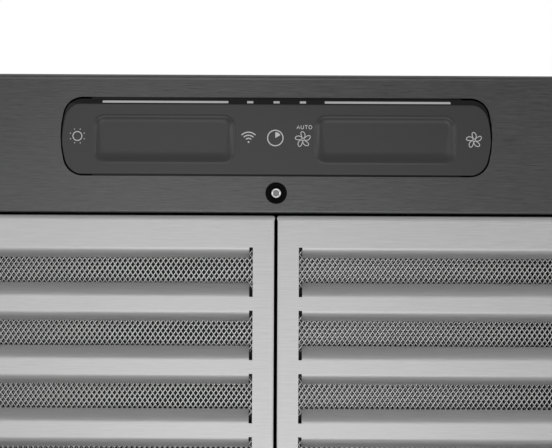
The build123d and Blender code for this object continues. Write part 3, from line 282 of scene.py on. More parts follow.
def quads(rows, columns):
    """Faces of a grid of points, rows by columns."""
    corner = np.arange(rows - 1)[:, None] * columns + np.arange(columns - 1)
    return stacked(corner, corner + 1, corner + columns + 1, corner + columns).reshape(-1, 4)


def mesh_object(name, points, faces, smooth=True, flip=False):
    """A mesh object from an array of points and an array of faces that have three or four corners."""
    points = np.asarray(points, dtype=np.float32).reshape(-1, 3)
    faces = np.asarray(faces, dtype=np.int32)
    if flip:
        faces = faces[:, ::-1]
    sides = faces.shape[1]
    mesh = bpy.data.meshes.new(name)
    mesh.vertices.add(len(points))
    mesh.vertices.foreach_set("co", points.ravel())
    mesh.loops.add(faces.size)
    mesh.loops.foreach_set("vertex_index", faces.ravel())
    mesh.polygons.add(len(faces))
    mesh.polygons.foreach_set("loop_start", np.arange(len(faces), dtype=np.int32) * sides)
    mesh.polygons.foreach_set("use_smooth", np.full(len(faces), smooth))
    mesh.update(calc_edges=True)
    if mesh.validate():
        raise ValueError(f"{name} has faces that had to be mended")
    item = bpy.data.objects.new(name, mesh)
    bpy.context.scene.collection.objects.link(item)
    return item


def joined(parts):
    """One array of points and one of faces from several (points, faces) pairs."""
    points, faces, first = [], [], 0
    for part_points, part_faces in parts:
        flat = np.asarray(part_points, dtype=float).reshape(-1, 3)
        points.append(flat)
        faces.append(np.asarray(part_faces) + first)
        first += len(flat)
    return np.concatenate(points), np.concatenate(faces)


def thicken(item, thickness, side=-1.0):
    """Gives a sheet its thickness, on the side away from its faces' normals."""
    solid = item.modifiers.new("Sheet", "SOLIDIFY")
    solid.thickness = thickness
    solid.offset = side
    solid.use_even_offset = True
    split = item.modifiers.new("Sharp edges", "EDGE_SPLIT")
    split.split_angle = math.radians(32.0)
    return item


def settle(item, body, slot_name, replaced=(), material=None):
    """Gives a new piece its finish, its body and its slot, and hides the CAD nodes it stands for."""
    item.data.materials.clear()
    item.data.materials.append(material or bpy.data.materials[f"Hood {slot_name}"])
    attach(item, body)
    if replaced:
        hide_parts(*replaced)
    return item


def extruded(section, along):
    """A section of (y, z) points carried along X: p(s, x) = (x, y(s), z(s))."""
    points = stacked(along, section[:, 0:1], section[:, 1:2])
    return points, quads(len(section), len(along))


def quarter(radius, height, reach, rise, steps=6):
    """A quarter ellipse of (radius, height) points: (r + reach sin t, h + rise (1 - cos t))."""
    t = np.linspace(0.0, np.pi / 2.0, steps)
    return stacked(radius + reach * np.sin(t), height + rise * (1.0 - np.cos(t)))


def lathe(profile, centre, base, steps=72):
    """Surface of revolution: p(s, t) = (cx + r(s) cos t, cy + r(s) sin t, base + z(s))."""
    profile = np.asarray(profile, dtype=float)
    turn = np.linspace(0.0, 2.0 * np.pi, steps, endpoint=False)
    radius, height = profile[:, 0:1], profile[:, 1:2] + base
    points = stacked(centre[0] + radius * np.cos(turn), centre[1] + radius * np.sin(turn), height)
    start = np.arange(len(profile) - 1)[:, None] * steps
    here = np.arange(steps)
    after = (here + 1) % steps
    faces = stacked(start + here, start + after, start + steps + after, start + steps + here)
    return points, faces.reshape(-1, 4)


def arc_profile(radius, turn, flat, steps=9):
    """Section of a rolled lip: (r sin t, r (1 - cos t)) for t up to the turn, then a straight slope."""
    t = np.linspace(0.0, turn, steps)
    run = stacked(radius * np.sin(t), radius * (1.0 - np.cos(t)))
    slope = np.array([math.cos(turn), math.sin(turn)])
    return np.concatenate([run, run[-1] + slope * flat * np.array([[0.34], [0.67], [1.0]])])


def lip_sections(tray):
    """Sections of the front lip and of the rear lip."""
    front = arc_profile(tray.front_lip_radius, tray.front_lip_turn, tray.front_lip_flat)
    return front, arc_profile(tray.rear_lip_radius, tray.rear_lip_turn, tray.rear_lip_flat)


def new_group(name, inputs, outputs):
    """An empty node group with sockets of numbers, and its input and output nodes."""
    group = bpy.data.node_groups.new(name, "ShaderNodeTree")
    for label, value in inputs.items():
        socket = group.interface.new_socket(label, in_out="INPUT", socket_type="NodeSocketFloat")
        socket.default_value = value
    for label, kind in outputs.items():
        group.interface.new_socket(label, in_out="OUTPUT", socket_type="NodeSocket" + kind)
    return group, group.nodes.new("NodeGroupInput"), group.nodes.new("NodeGroupOutput")


def node(tree, kind, **inputs):
    """A shader node; each input is given by name as a number, a colour or a socket to link from."""
    made = tree.nodes.new("ShaderNode" + kind)
    connect(tree, made, **inputs)
    return made


def connect(tree, made, **inputs):
    """Sets a node's inputs by name, each to a number, a colour or a socket to link from."""
    for label, value in inputs.items():
        socket = made.inputs[label.replace("_", " ")]
        if isinstance(value, bpy.types.NodeSocket):
            tree.links.new(value, socket)
        else:
            socket.default_value = value


def noise(tree, scale, detail=2.0):
    """The level of a noise texture on the object's own coordinates."""
    place = node(tree, "TexCoord").outputs["Object"]
    return node(tree, "TexNoise", Vector=place, Scale=scale, Detail=detail).outputs["Fac"]


def axes(tree, vector):
    """The three parts of a vector socket."""
    return node(tree, "SeparateXYZ", Vector=vector).outputs


def maths(tree, operation, first, second=0.5, third=0.5):
    """A math node; each argument is a socket or a number."""
    made = tree.nodes.new("ShaderNodeMath")
    made.operation = operation
    for socket, value in zip(made.inputs, (first, second, third)):
        if isinstance(value, (int, float)):
            socket.default_value = value
        else:
            tree.links.new(value, socket)
    return made.outputs[0]


def brushed_group():
    """Lines of a brushed sheet: stretched noise that runs along X, or along Y on the sheets that face X."""
    group, inside, out = new_group(
        "Brushed grain",
        {"Across": 1800.0, "Along": 14.0, "Relief": 0.1},
        {"Tone": "Float", "Patch": "Float", "Normal": "Vector"},
    )
    place = axes(group, node(group, "TexCoord").outputs["Object"])
    face = axes(group, node(group, "NewGeometry").outputs["True Normal"])
    sideways = maths(group, "GREATER_THAN", maths(group, "ABSOLUTE", face[0]), 0.7)
    across, along = inside.outputs["Across"], inside.outputs["Along"]
    step = maths(group, "SUBTRACT", across, along)
    scale_x = maths(group, "MULTIPLY_ADD", sideways, step, along)
    scale_y = maths(group, "SUBTRACT", across, maths(group, "MULTIPLY", sideways, step))
    tones = []
    for finer in (1.0, 2.7):
        join = node(group, "CombineXYZ")
        for index, scale in enumerate((scale_x, scale_y, across)):
            spread = maths(group, "MULTIPLY", place[index], scale)
            group.links.new(maths(group, "MULTIPLY", spread, finer), join.inputs[index])
        lines = node(group, "TexNoise", Vector=join.outputs[0], Scale=1.0, Detail=1.0)
        tones.append(lines.outputs["Fac"])
    grain = maths(group, "SUBTRACT", maths(group, "ADD", tones[0], tones[1]), 1.0)
    patch = maths(group, "SUBTRACT", noise(group, 9.0), 0.5)
    bump = node(group, "Bump", Distance=GRAIN_DEPTH, Strength=inside.outputs["Relief"], Height=grain)
    connect(group, out, Tone=grain, Patch=patch, Normal=bump.outputs[0])
    return group


def dust_group():
    """Mask of thin dust that lies on surfaces that face up."""
    group, inside, out = new_group("Settled dust", {"Amount": 0.3}, {"Mask": "Float"})
    normal = axes(group, node(group, "NewGeometry").outputs["Normal"])
    up = maths(group, "MAXIMUM", normal[2], 0.0)
    cloud = maths(group, "MULTIPLY", up, noise(group, 35.0, 3.0))
    connect(group, out, Mask=maths(group, "MULTIPLY", cloud, inside.outputs["Amount"]))
    return group


def group_node(tree, name, build, **values):
    """A node that uses a shared group, built once, with its inputs set by their names in small letters."""
    made = tree.nodes.new("ShaderNodeGroup")
    made.node_tree = bpy.data.node_groups.get(name) or build()
    for label, value in values.items():
        made.inputs[label.capitalize()].default_value = value
    return made


def plain_material(name, tint, roughness, metallic=0.0, **settings):
    """A material with one principled shader; settings are shader sockets by name."""
    material = bpy.data.materials.new(f"Hood {name}")
    material.use_nodes = True
    tree = material.node_tree
    shader = tree.nodes["Principled BSDF"]
    connect(tree, shader, Base_Color=(*tint, 1.0), Roughness=roughness, Metallic=metallic, **settings)
    return material, tree, shader


def scaled_colour(tree, tint, amount):
    """The colour times an amount given by a socket."""
    scale = tree.nodes.new("ShaderNodeVectorMath")
    scale.operation = "SCALE"
    scale.inputs[0].default_value = tint
    tree.links.new(amount, scale.inputs["Scale"])
    return scale.outputs[0]


def brushed_material(name, tint, roughness, contrast, across=1800.0, along=14.0, relief=0.1, shaded=False):
    """Brushed metal: the grain changes tone, roughness and normal, broad patches change the tone a little.

    A shaded metal is darkened by the attribute "shade" of its mesh: painted shade on the mesh layers that lie
    deeper.
    """
    material, tree, shader = plain_material(name, tint, roughness, metallic=1.0)
    grain = group_node(tree, "Brushed grain", brushed_group, across=across, along=along, relief=relief)
    lines = maths(tree, "MULTIPLY_ADD", grain.outputs["Tone"], contrast, 1.0)
    amount = maths(tree, "MULTIPLY_ADD", grain.outputs["Patch"], 0.06, lines)
    # Painted shade: the colour is multiplied by the mesh's "shade" attribute.
    if shaded:
        shade = tree.nodes.new("ShaderNodeAttribute")
        shade.attribute_name = "shade"
        amount = maths(tree, "MULTIPLY", amount, shade.outputs["Fac"])
    rough = maths(tree, "MULTIPLY_ADD", grain.outputs["Tone"], 0.12, roughness)
    base = scaled_colour(tree, tint, amount)
    connect(tree, shader, Base_Color=base, Roughness=rough, Normal=grain.outputs["Normal"])
    return material


def moulded_material(name, tint, roughness, texture=900.0, relief=0.05, dust=0.0, **settings):
    """Moulded plastic or rubber: a fine grain in the normal, and dust where it faces up."""
    material, tree, shader = plain_material(name, tint, roughness, **settings)
    bump = node(tree, "Bump", Strength=relief, Distance=GRAIN_DEPTH, Height=noise(tree, texture))
    tree.links.new(bump.outputs[0], shader.inputs["Normal"])
    if dust > 0.0:
        settled = group_node(tree, "Settled dust", dust_group, amount=dust)
        mix = tree.nodes.new("ShaderNodeMix")
        mix.data_type = "RGBA"
        dusty = bpy.context.scene.hood_colour.dust
        connect(tree, mix, A=(*tint, 1.0), B=(*dusty, 1.0), Factor=settled.outputs["Mask"])
        tree.links.new(mix.outputs["Result"], shader.inputs["Base Color"])
    return material


def zinc_material(name, tint):
    """Zinc-coated sheet: a soft pattern of crystals that changes tone and roughness."""
    material, tree, shader = plain_material(name, tint, 0.42, metallic=1.0)
    place = node(tree, "TexCoord").outputs["Object"]
    cells = node(tree, "TexVoronoi", Vector=place, Scale=90.0)
    spangle = axes(tree, cells.outputs["Color"])
    amount = maths(tree, "MULTIPLY_ADD", spangle[0], 0.22, 0.86)
    settled = group_node(tree, "Settled dust", dust_group, amount=0.35)
    amount = maths(tree, "SUBTRACT", amount, maths(tree, "MULTIPLY", settled.outputs["Mask"], 0.3))
    rough = maths(tree, "MULTIPLY_ADD", spangle[1], 0.14, 0.36)
    connect(tree, shader, Base_Color=scaled_colour(tree, tint, amount), Roughness=rough)
    return material


def light_material(name, tint, level):
    """Milky light guide, lit from behind; a soft noise changes its light a little."""
    material, tree, shader = plain_material(name, tint, 0.4)
    strength = maths(tree, "MULTIPLY_ADD", noise(tree, 60.0), 0.2 * level, 0.9 * level)
    connect(tree, shader, Emission_Color=(1.0, 1.0, 1.0, 1.0), Emission_Strength=strength)
    return material


def make_materials(tints):
    """One material for each of the record's slots, by slot name."""
    fine = {"across": 2400.0}
    metals = {
        "canopy_steel": (0.36, 0.16, {"relief": 0.10}),
        "strip_steel": (0.31, 0.55, {"along": 70.0, "relief": 0.16, **fine}),
        "filter_steel": (0.42, 0.26, {"along": 50.0, "relief": 0.14, **fine}),
        "bright_steel": (0.22, 0.05, {"across": 3000.0, "relief": 0.03}),
        # The mesh's colour takes painted shade from each layer's "shade" attribute.
        "mesh_aluminium": (0.30, 0.20, {"across": 900.0, "along": 700.0, "shaded": True}),
    }
    mouldings = {
        "cast_aluminium": (0.5, {"texture": 500.0, "relief": 0.3, "metallic": 1.0}),
        "module_face": (0.32, {"texture": 2500.0, "Specular_IOR_Level": 0.42}),
        "black_gloss": (0.18, {"relief": 0.02, "Specular_IOR_Level": 0.2}),
        "black_plastic": (0.5, {"relief": 0.25, "dust": 0.3, "Specular_IOR_Level": 0.04}),
        "grey_plastic": (0.48, {"relief": 0.2, "dust": 0.4}),
        "wheel_plastic": (0.42, {"relief": 0.15, "dust": 0.5}),
        "black_rubber": (0.75, {"relief": 0.4}),
        "board_green": (0.35, {"texture": 400.0, "relief": 0.1}),
        "motor_paint": (0.32, {"texture": 300.0, "relief": 0.15, "dust": 0.4}),
        "frosted_lens": (0.35, {"texture": 1200.0, "relief": 0.3}),
    }
    made = {
        "zinc_steel": zinc_material("zinc_steel", tints.zinc_steel),
        "light_guide": light_material("light_guide", tints.light_guide, 0.22),
    }
    for slot_name, (roughness, contrast, settings) in metals.items():
        tint = getattr(tints, slot_name)
        made[slot_name] = brushed_material(slot_name, tint, roughness, contrast, **settings)
    for slot_name, (roughness, settings) in mouldings.items():
        made[slot_name] = moulded_material(slot_name, getattr(tints, slot_name), roughness, **settings)
    return made


class HOOD_OT_finishes(Operator):
    """Make the finishes and give each CAD node the one of its slot"""

    bl_idname = "hood.finishes"
    bl_label = "Finishes"

    def execute(self, context):
        made = make_materials(context.scene.hood_colour)
        slots = {item["node"]: item["material_slot"] for item in frame["record"]["subparts"]}
        for name, item in frame["nodes"].items():
            item.data.materials.clear()
            item.data.materials.append(made[slots[name]])
        return {"FINISHED"}


class FilterPlan:
    """Places in one filter, taken from its CAD tray: its middle, front edge, face height and slots."""

    def __init__(self, side, tray):
        low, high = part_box(f"filter_face_{side}")
        self.side = side
        self.centre = (low.x + high.x) / 2.0
        self.front = low.y
        self.middle = low.y + tray.depth / 2.0
        self.half_x = tray.width / 2.0 - tray.side_fold
        self.half_y = tray.depth / 2.0 - tray.end_fold
        self.base = low.z
        self.column = (tray.width - 2.0 * tray.slot_margin - tray.web_width) / 2.0
        self.shift = (tray.web_width + self.column) / 2.0
        self.rows = low.y + tray.first_slot + tray.slot_pitch * np.arange(tray.slot_rows)
        self.columns = [self.centre - self.shift, self.centre + self.shift]


def tray_face(plan, tray):
    """Flat face with the slots left out: cells of a grid whose lines run along every slot's edges."""
    x_lines = {plan.centre - plan.half_x, plan.centre + plan.half_x}
    for column in plan.columns:
        x_lines |= {column - plan.column / 2.0, column + plan.column / 2.0}
    latch_half = tray.latch_width / 2.0
    x_lines |= {plan.centre - latch_half, plan.centre + latch_half}
    latch_low = plan.front + tray.latch_setback
    latch_high = latch_low + tray.latch_length
    y_lines = {plan.middle - plan.half_y, plan.middle + plan.half_y, latch_low, latch_high}
    for row in plan.rows:
        y_lines |= {float(row), float(row) + tray.slot_height}
    xs, ys = np.array(sorted(x_lines)), np.array(sorted(y_lines))
    points = stacked(xs, ys[:, None], plan.base)
    faces = quads(len(ys), len(xs))
    middle_x = (xs[:-1] + xs[1:]) / 2.0
    middle_y = (ys[:-1] + ys[1:])[:, None] / 2.0
    in_column = np.abs(np.abs(middle_x - plan.centre) - plan.shift) < plan.column / 2.0
    in_row = ((middle_y - plan.rows[0]) % tray.slot_pitch < tray.slot_height) & (middle_y > plan.rows[0])
    in_row &= middle_y < plan.rows[-1] + tray.slot_height
    in_latch = (np.abs(middle_x - plan.centre) < latch_half) & (middle_y > latch_low)
    in_latch &= middle_y < latch_high
    keep = ~((in_column & in_row) | in_latch)
    return points, faces[keep.ravel()]


def tray_rim(plan, tray):
    """Fold and wall round the face: a quarter ellipse and a straight rise carried round a rectangle.

    At the direction t the fold's reach is r(t) = side cos^2 t + end sin^2 t, so the corners blend the two.
    """
    corners = [(1, 1, 0.0), (-1, 1, 0.5), (-1, -1, 1.0), (1, -1, 1.5)]
    path, turn = [], []
    for sign_x, sign_y, start in corners:
        for t in np.pi * (start + np.linspace(0.0, 0.5, 6)):
            path.append((plan.centre + sign_x * plan.half_x, plan.middle + sign_y * plan.half_y))
            turn.append(t)
    path, turn = np.array(path + path[:1]), np.array(turn + turn[:1])
    radius = tray.side_fold * np.cos(turn) ** 2 + tray.end_fold * np.sin(turn) ** 2
    roll = np.append(np.linspace(0.0, np.pi / 2.0, 13), np.pi / 2.0)[:, None]
    reach = radius * np.sin(roll)
    height = tray.fold_rise * radius * (1.0 - np.cos(roll))
    height[-1] = tray.tray_height
    x, y = path[:, 0] + reach * np.cos(turn), path[:, 1] + reach * np.sin(turn)
    points = stacked(x, y, plan.base + height)
    return points, quads(len(roll), len(path))


def tray_lips(plan, tray):
    """Rolled lips: each slot's two sections carried along X, the front one rearwards, the rear forwards."""
    parts = []
    reach = plan.column / 2.0 - tray.slit_width
    along = np.linspace(-reach, reach, 25)
    front, rear = lip_sections(tray)
    for column in plan.columns:
        for row in plan.rows:
            for section, start, hand in ((front, row, 1.0), (rear, row + tray.slot_height, -1.0)):
                points, faces = extruded(section * (hand, 1.0) + (start, plan.base), column + along)
                parts.append((points, faces if hand > 0 else faces[:, ::-1]))
    return joined(parts)


def tray_hooks(plan, tray):
    """Hinge hooks: a strap and a curl, (r cos t, r sin t) from half a turn to just past none."""
    low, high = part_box("hinge_rod")
    axis = ((low.y + high.y) / 2.0, (low.z + high.z) / 2.0)
    t = np.linspace(np.pi, math.radians(-20.0), 16)
    curl = tray.hook_radius * stacked(np.cos(t), np.sin(t))
    section = np.concatenate([[[-tray.hook_reach, 0.0]], curl]) + axis
    along = np.linspace(-tray.hook_width / 2.0, tray.hook_width / 2.0, 3)
    middles = [plan.centre + hand * tray.hook_spacing / 2.0 for hand in (-1.0, 1.0)]
    return joined([extruded(section, middle + along) for middle in middles])


class HOOD_OT_filter_trays(Operator):
    """Build both filters' slotted trays: face, folded rim, rolled lips and hinge hooks"""

    bl_idname = "hood.filter_trays"
    bl_label = "Filter trays"

    def execute(self, context):
        tray = context.scene.hood_filter
        for side in ("left", "right"):
            plan = FilterPlan(side, tray)
            body = f"filter_{side}"
            face = mesh_object(f"tray_face_{side}", *tray_face(plan, tray), flip=True)
            settle(thicken(face, tray.sheet), body, "filter_steel", [f"filter_face_{side}"])
            rim = mesh_object(f"tray_rim_{side}", *tray_rim(plan, tray))
            settle(thicken(rim, tray.sheet), body, "filter_steel")
            lips = mesh_object(f"tray_lips_{side}", *tray_lips(plan, tray), flip=True)
            settle(thicken(lips, tray.sheet), body, "filter_steel")
            hooks = mesh_object(f"tray_hooks_{side}", *tray_hooks(plan, tray))
            settle(thicken(hooks, tray.hook_sheet, 0.0), body, "filter_steel")
        return {"FINISHED"}


def strand_rows(x_low, x_high, row_places, height, mesh, phase, crowned=True, stretch=(1.0, 1.0)):
    """Zigzag strands of expanded sheet.

    Strand j has p(k) = (k a / 2, y_j + (-1)^(j+k) b / 4), where a and b are the diamond's two sizes,
    so neighbouring strands meet at every bend. Across a strand, three points give it a crown.
    """
    half_a, quarter_b = stretch[0] * mesh.diamond_x / 2.0, stretch[1] * mesh.diamond_y / 4.0
    k = np.arange(int((x_high - x_low) / half_a) + 1)
    j = np.arange(len(row_places))
    turn = np.where((k + j[:, None] + phase) % 2 == 0, 1.0, -1.0)
    x = x_low + k * half_a
    y = np.asarray(row_places)[:, None] + turn * quarter_b
    z = height + turn * mesh.step / 2.0
    offsets = [(-1.0, 1.0), (0.0, 0.0), (1.0, 1.0)] if crowned else [(-1.0, 0.0), (1.0, 0.0)]
    lines = [stacked(x, y + side * mesh.strand_half, z + back * mesh.crown) for side, back in offsets]
    points = np.stack(lines, axis=1)
    faces = quads(len(offsets), len(k)) + (j * len(offsets) * len(k))[:, None, None]
    return points.reshape(-1, 3), faces.reshape(-1, 4)


def mesh_layer(name, points, faces, shade, body, replaced=()):
    """One layer of the mesh; the attribute "shade" is painted shade, how much light the layer keeps, and its
    finish multiplies its colour by it.
    """
    item = mesh_object(name, points, faces, flip=True)
    layer = item.data.attributes.new("shade", "FLOAT", "POINT")
    layer.data.foreach_set("value", np.full(len(item.data.vertices), shade, dtype=np.float32))
    settle(item, body, "mesh_aluminium", replaced)


def fine_layer(plan, tray, mesh, layer):
    """Strands of one of the two fine layers, behind each slot's clear opening and a little past it."""
    front, rear = lip_sections(tray)
    pitch = mesh.diamond_y / 2.0
    drift = layer * np.array([mesh.second_drift_x * mesh.diamond_x, mesh.second_drift_y * pitch])
    stretch = (1.0 + layer * mesh.second_stretch, 1.0 + layer * mesh.second_spread)
    apart = pitch * stretch[1]
    height = plan.base + mesh.first_layer + layer * mesh.layer_gap
    parts = []
    for column in plan.columns:
        low_x = column - plan.column / 2.0 - mesh.side_reach + drift[0]
        high_x = column + plan.column / 2.0 + mesh.side_reach
        for row in plan.rows:
            low_y = row + front[-1, 0] - mesh.window_reach
            high_y = row + tray.slot_height - rear[-1, 0] + mesh.window_reach
            first = math.ceil((low_y - plan.front - drift[1]) / apart)
            last = math.floor((high_y - plan.front - drift[1]) / apart)
            places = plan.front + drift[1] + apart * np.arange(first, last + 1)
            parts.append(strand_rows(low_x, high_x, places, height, mesh, first % 2, stretch=stretch))
    return joined(parts)


class HOOD_OT_filter_mesh(Operator):
    """Build the layers of expanded aluminium inside both filters, with painted shade on the second layer and
    a flat sheet of painted shade behind the two lowest layers
    """

    bl_idname = "hood.filter_mesh"
    bl_label = "Filter mesh"

    def execute(self, context):
        tray, mesh = context.scene.hood_filter, context.scene.hood_mesh
        for side in ("left", "right"):
            plan = FilterPlan(side, tray)
            body = f"filter_{side}"
            lowest, second = (fine_layer(plan, tray, mesh, layer) for layer in (0, 1))
            mesh_layer(f"mesh_layer_a_{side}", *lowest, 1.0, body, [f"filter_mesh_{side}"])
            # Painted shade: the second layer's colour is darkened because it lies deeper.
            mesh_layer(f"mesh_layer_b_{side}", *second, mesh.second_painted_shade, body)
            # A flat sheet of painted shade, nearly black, stands for the shade among the deeper layers.
            low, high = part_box(f"filter_mesh_{side}")
            deep = plan.base + mesh.first_layer + 2.0 * mesh.layer_gap
            sheet = [(x, y, deep) for y in (low.y, high.y) for x in (low.x, high.x)]
            mesh_layer(f"mesh_shade_sheet_{side}", sheet, quads(2, 2), mesh.core_painted_shade, body)
            pitch = mesh.diamond_y / 2.0
            places = np.arange(low.y + pitch, high.y - pitch, pitch)
            top = strand_rows(low.x, high.x, places, high.z - mesh.top_cover, mesh, 0, crowned=False)
            mesh_layer(f"mesh_layer_c_{side}", *top, 1.0, body)
        return {"FINISHED"}


def end_reach(y, touch):
    """How far the face reaches to each side at a distance y from the module's middle line.

    The end is an arc through the bow; each corner is a circle that touches the arc and the long edge.
    """
    deep = touch.depth / 2.0 - touch.gap
    end = touch.length / 2.0 - touch.gap
    corner = touch.corner - touch.gap
    arc = (deep * deep + touch.bow * touch.bow) / (2.0 * touch.bow)
    arc_x = end - arc
    middle_y = deep - corner
    middle_x = arc_x + math.sqrt((arc - corner) ** 2 - middle_y**2)
    touch_y = arc * middle_y / (arc - corner)
    y = np.minimum(np.abs(y), deep)
    bowed = arc_x + np.sqrt(arc * arc - y * y)
    rounded = middle_x + np.sqrt(np.maximum(corner * corner - (y - middle_y) ** 2, 0.0))
    return np.where(y < touch_y, bowed, rounded)


def dip_fall(x, y, touch):
    """Depth of the finger dips at (x, y): a floor, a wall along a rounded rectangle and a bead round it.

    s is the signed distance to the rectangle. Inside, with t = -s / wall, the depth is 1 - (1 - t)^2;
    the wall is short at the front and long at the rear. Outside, a low bead stands out as sin^2, higher
    at the dip's two ends than along its long sides.
    """
    from_dip = np.abs(np.abs(x + touch.dip_shift) - touch.dip_spacing / 2.0)
    across = from_dip - touch.dip_length / 2.0 + touch.dip_corner
    along = np.abs(y) - touch.dip_width / 2.0 + touch.dip_corner
    outside = np.hypot(np.maximum(across, 0.0), np.maximum(along, 0.0))
    s = outside + np.minimum(np.maximum(across, along), 0.0) - touch.dip_corner
    rearward = np.clip(0.5 + y / touch.dip_width, 0.0, 1.0)
    wall = touch.front_wall + (touch.rear_wall - touch.front_wall) * rearward**2
    t = np.clip(-s / wall, 0.0, 1.0)
    bead = np.sin(np.pi * np.clip(s / touch.bead_width, 0.0, 1.0)) ** 2
    endward = np.clip(0.5 + (across - along) / (2.0 * touch.dip_corner), 0.0, 1.0)
    bead_height = touch.bead_height + (touch.end_bead_height - touch.bead_height) * endward
    return touch.dip_depth * (1.0 - (1.0 - t) ** 2) - bead_height * bead


class FacePlan:
    """Places on the touch face: its middle line, its tilt, and its height at any point."""

    def __init__(self, touch):
        hood_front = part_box("canopy_shell")[0].y
        self.touch = touch
        self.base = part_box("underside_pan")[0].z
        self.front = hood_front + touch.setback + touch.gap + touch.facet_run
        self.rear = hood_front + touch.setback + touch.depth - touch.gap
        self.middle = hood_front + touch.setback + touch.depth / 2.0

    def shares(self):
        """Places across the face as shares of its reach, close together at the dips' ends and at its edge."""
        touch = self.touch
        reach = touch.length / 2.0 - touch.gap
        near, close = 0.042, 0.985
        knots = [0.0]
        for side in (-1.0, 1.0):
            dip_end = (touch.dip_spacing + side * touch.dip_length) / 2.0 / reach
            knots += [dip_end - near, dip_end + near]
        knots += [close, 1.0]
        spans = zip(knots[:-1], knots[1:], (10, 30, 24, 30, 12, 8))
        runs = [np.linspace(first, last, steps, endpoint=False) for first, last, steps in spans]
        half = np.append(np.concatenate(runs), 1.0)
        return np.concatenate([-half[:0:-1], half])

    def height(self, x, y):
        """Height of the face's surface; y is measured from the wall."""
        touch = self.touch
        share = (y - self.front) / (self.rear - self.front)
        plane = self.base - touch.facet_drop + share * (touch.facet_drop - touch.rear_drop)
        return plane + dip_fall(x, y - self.middle - touch.facet_run / 2.0, touch)


class HOOD_OT_touch_face(Operator):
    """Build the touch module's satin face with its two finger dips"""

    bl_idname = "hood.touch_face"
    bl_label = "Touch face"

    def execute(self, context):
        touch = context.scene.hood_touch
        plan = FacePlan(touch)
        depth = plan.rear - plan.front
        border = 0.0036
        ease = np.linspace(0.0, 1.0, 13)[1:-1]
        near = np.concatenate([[0.0], 0.0035 * ease**2])
        levels = np.concatenate([near, np.linspace(border, depth - border, 100), (depth - near)[::-1]])
        y = plan.front + levels
        local = y - plan.middle
        reach = np.minimum(end_reach(local, touch), end_reach(local - touch.facet_run, touch))
        x = reach[:, None] * plan.shares()
        edge = np.minimum(reach[:, None] - np.abs(x), np.minimum(levels, depth - levels)[:, None])
        inside = np.clip(1.0 - edge / touch.edge_round, 0.0, 1.0)
        rounding = touch.edge_round * (1.0 - np.sqrt(1.0 - np.minimum(inside, 0.995) ** 2))
        points = stacked(x, y[:, None], plan.height(x, y[:, None]) + rounding)
        item = mesh_object("touch_cover", points, quads(*x.shape), flip=True)
        settle(thicken(item, touch.face_sheet), "hood", "module_face", ["touch_face"])
        return {"FINISHED"}


def stroke(path, width, closed=False):
    """A flat band along a path of (x, y) points, as outline points in pairs and faces."""
    path = np.asarray(path, dtype=float)
    if closed:
        path = np.concatenate([path, path[:1]])
        ahead = np.concatenate([path[1:], path[1:2]])
        behind = np.concatenate([path[-2:-1], path[:-1]])
    else:
        ahead = np.concatenate([path[1:], path[-1:]])
        behind = np.concatenate([path[:1], path[:-1]])
    course = ahead - behind
    course /= np.linalg.norm(course, axis=1, keepdims=True)
    side = stacked(-course[:, 1], course[:, 0]) * width / 2.0
    return np.concatenate([path - side, path + side]), quads(2, len(path))


def circle(centre, radius, first=0.0, last=360.0, steps=32):
    """Points on a circle, from one bearing to another, in degrees."""
    t = np.radians(np.linspace(first, last, steps))
    return stacked(centre[0] + radius * np.cos(t), centre[1] + radius * np.sin(t))


def disc(centre, radius, first=0.0, last=360.0, steps=24):
    """A filled circle or sector, as a band from its middle to its edge."""
    edge = circle(centre, radius, first, last, steps)
    hub = circle(centre, radius * 0.02, first, last, steps)
    return np.concatenate([hub, edge]), quads(2, steps)


def fan(centre, radius, width, blades=5):
    """A fan sign: each blade is a leaf outline that leaves the hub, swells to one side and comes back."""
    parts = [stroke(circle(centre, radius * 0.17, steps=16)[:-1], width, closed=True)]
    t = np.linspace(0.0, 1.0, 22)
    reach = 0.24 + 0.76 * np.sin(np.pi * t) ** 0.8
    for blade in range(blades):
        bearing = 2.0 * np.pi * blade / blades + 0.5 + 1.15 * t - 0.25 * np.sin(np.pi * t)
        leaf = stacked(np.cos(bearing) * reach, np.sin(bearing) * reach) * radius
        parts.append(stroke(leaf + np.asarray(centre), width))
    return parts


def letter(shape, centre, size, width):
    """A capital letter from strokes on a unit square."""
    strokes = {
        "A": [[(-0.42, 0.5), (0.0, -0.5), (0.42, 0.5)], [(-0.26, 0.14), (0.26, 0.14)]],
        "T": [[(-0.42, -0.5), (0.42, -0.5)], [(0.0, -0.5), (0.0, 0.5)]],
    }
    bend = np.linspace(0.0, np.pi, 9)
    cup = [(-0.36 * math.cos(t), 0.15 + 0.35 * math.sin(t)) for t in bend]
    strokes["U"] = [[(-0.36, -0.5), *cup, (0.36, -0.5)]]
    whole = np.linspace(0.0, 2.0 * np.pi, 24)
    strokes["O"] = [[(0.44 * math.cos(t), 0.5 * math.sin(t)) for t in whole]]
    return [stroke(np.asarray(path) * size + np.asarray(centre), width) for path in strokes[shape]]


def sign_parts(sign, middle, line):
    """The printed signs in the plane of the face: lamp, sensor waves, timer, automatic fan and fan."""
    lamp = (sign.lamp_x, middle)
    parts = [stroke(circle(lamp, 0.00205, steps=28)[:-1], line, closed=True)]
    for spot in circle(lamp, 0.0034, 22.5, 337.5, 8):
        parts.append(disc(spot, 0.00024, steps=10))
    waves = (sign.waves_x, middle + 0.0024)
    parts.append(disc(waves, 0.00042, steps=14))
    for radius in (0.0017, 0.0031, 0.0045):
        parts.append(stroke(circle(waves, radius, 225.0, 315.0, 18), line * 1.25))
    timer = (sign.timer_x, middle + 0.0005)
    parts.append(stroke(circle(timer, 0.00355, steps=40)[:-1], line * 1.2, closed=True))
    parts.append(disc(timer, 0.0027, 270.0, 330.0, 12))
    auto = (sign.auto_x, middle + 0.0011)
    parts += fan(auto, 0.0036, line * 0.85)
    for index, shape in enumerate("AUTO"):
        place = (auto[0] + (index - 1.5) * 0.00185 + 0.0006, auto[1] - 0.0056)
        parts += letter(shape, place, 0.0016, line * 0.7)
    parts += fan((sign.fan_x, middle + 0.0011), 0.0036, line * 0.85)
    return parts


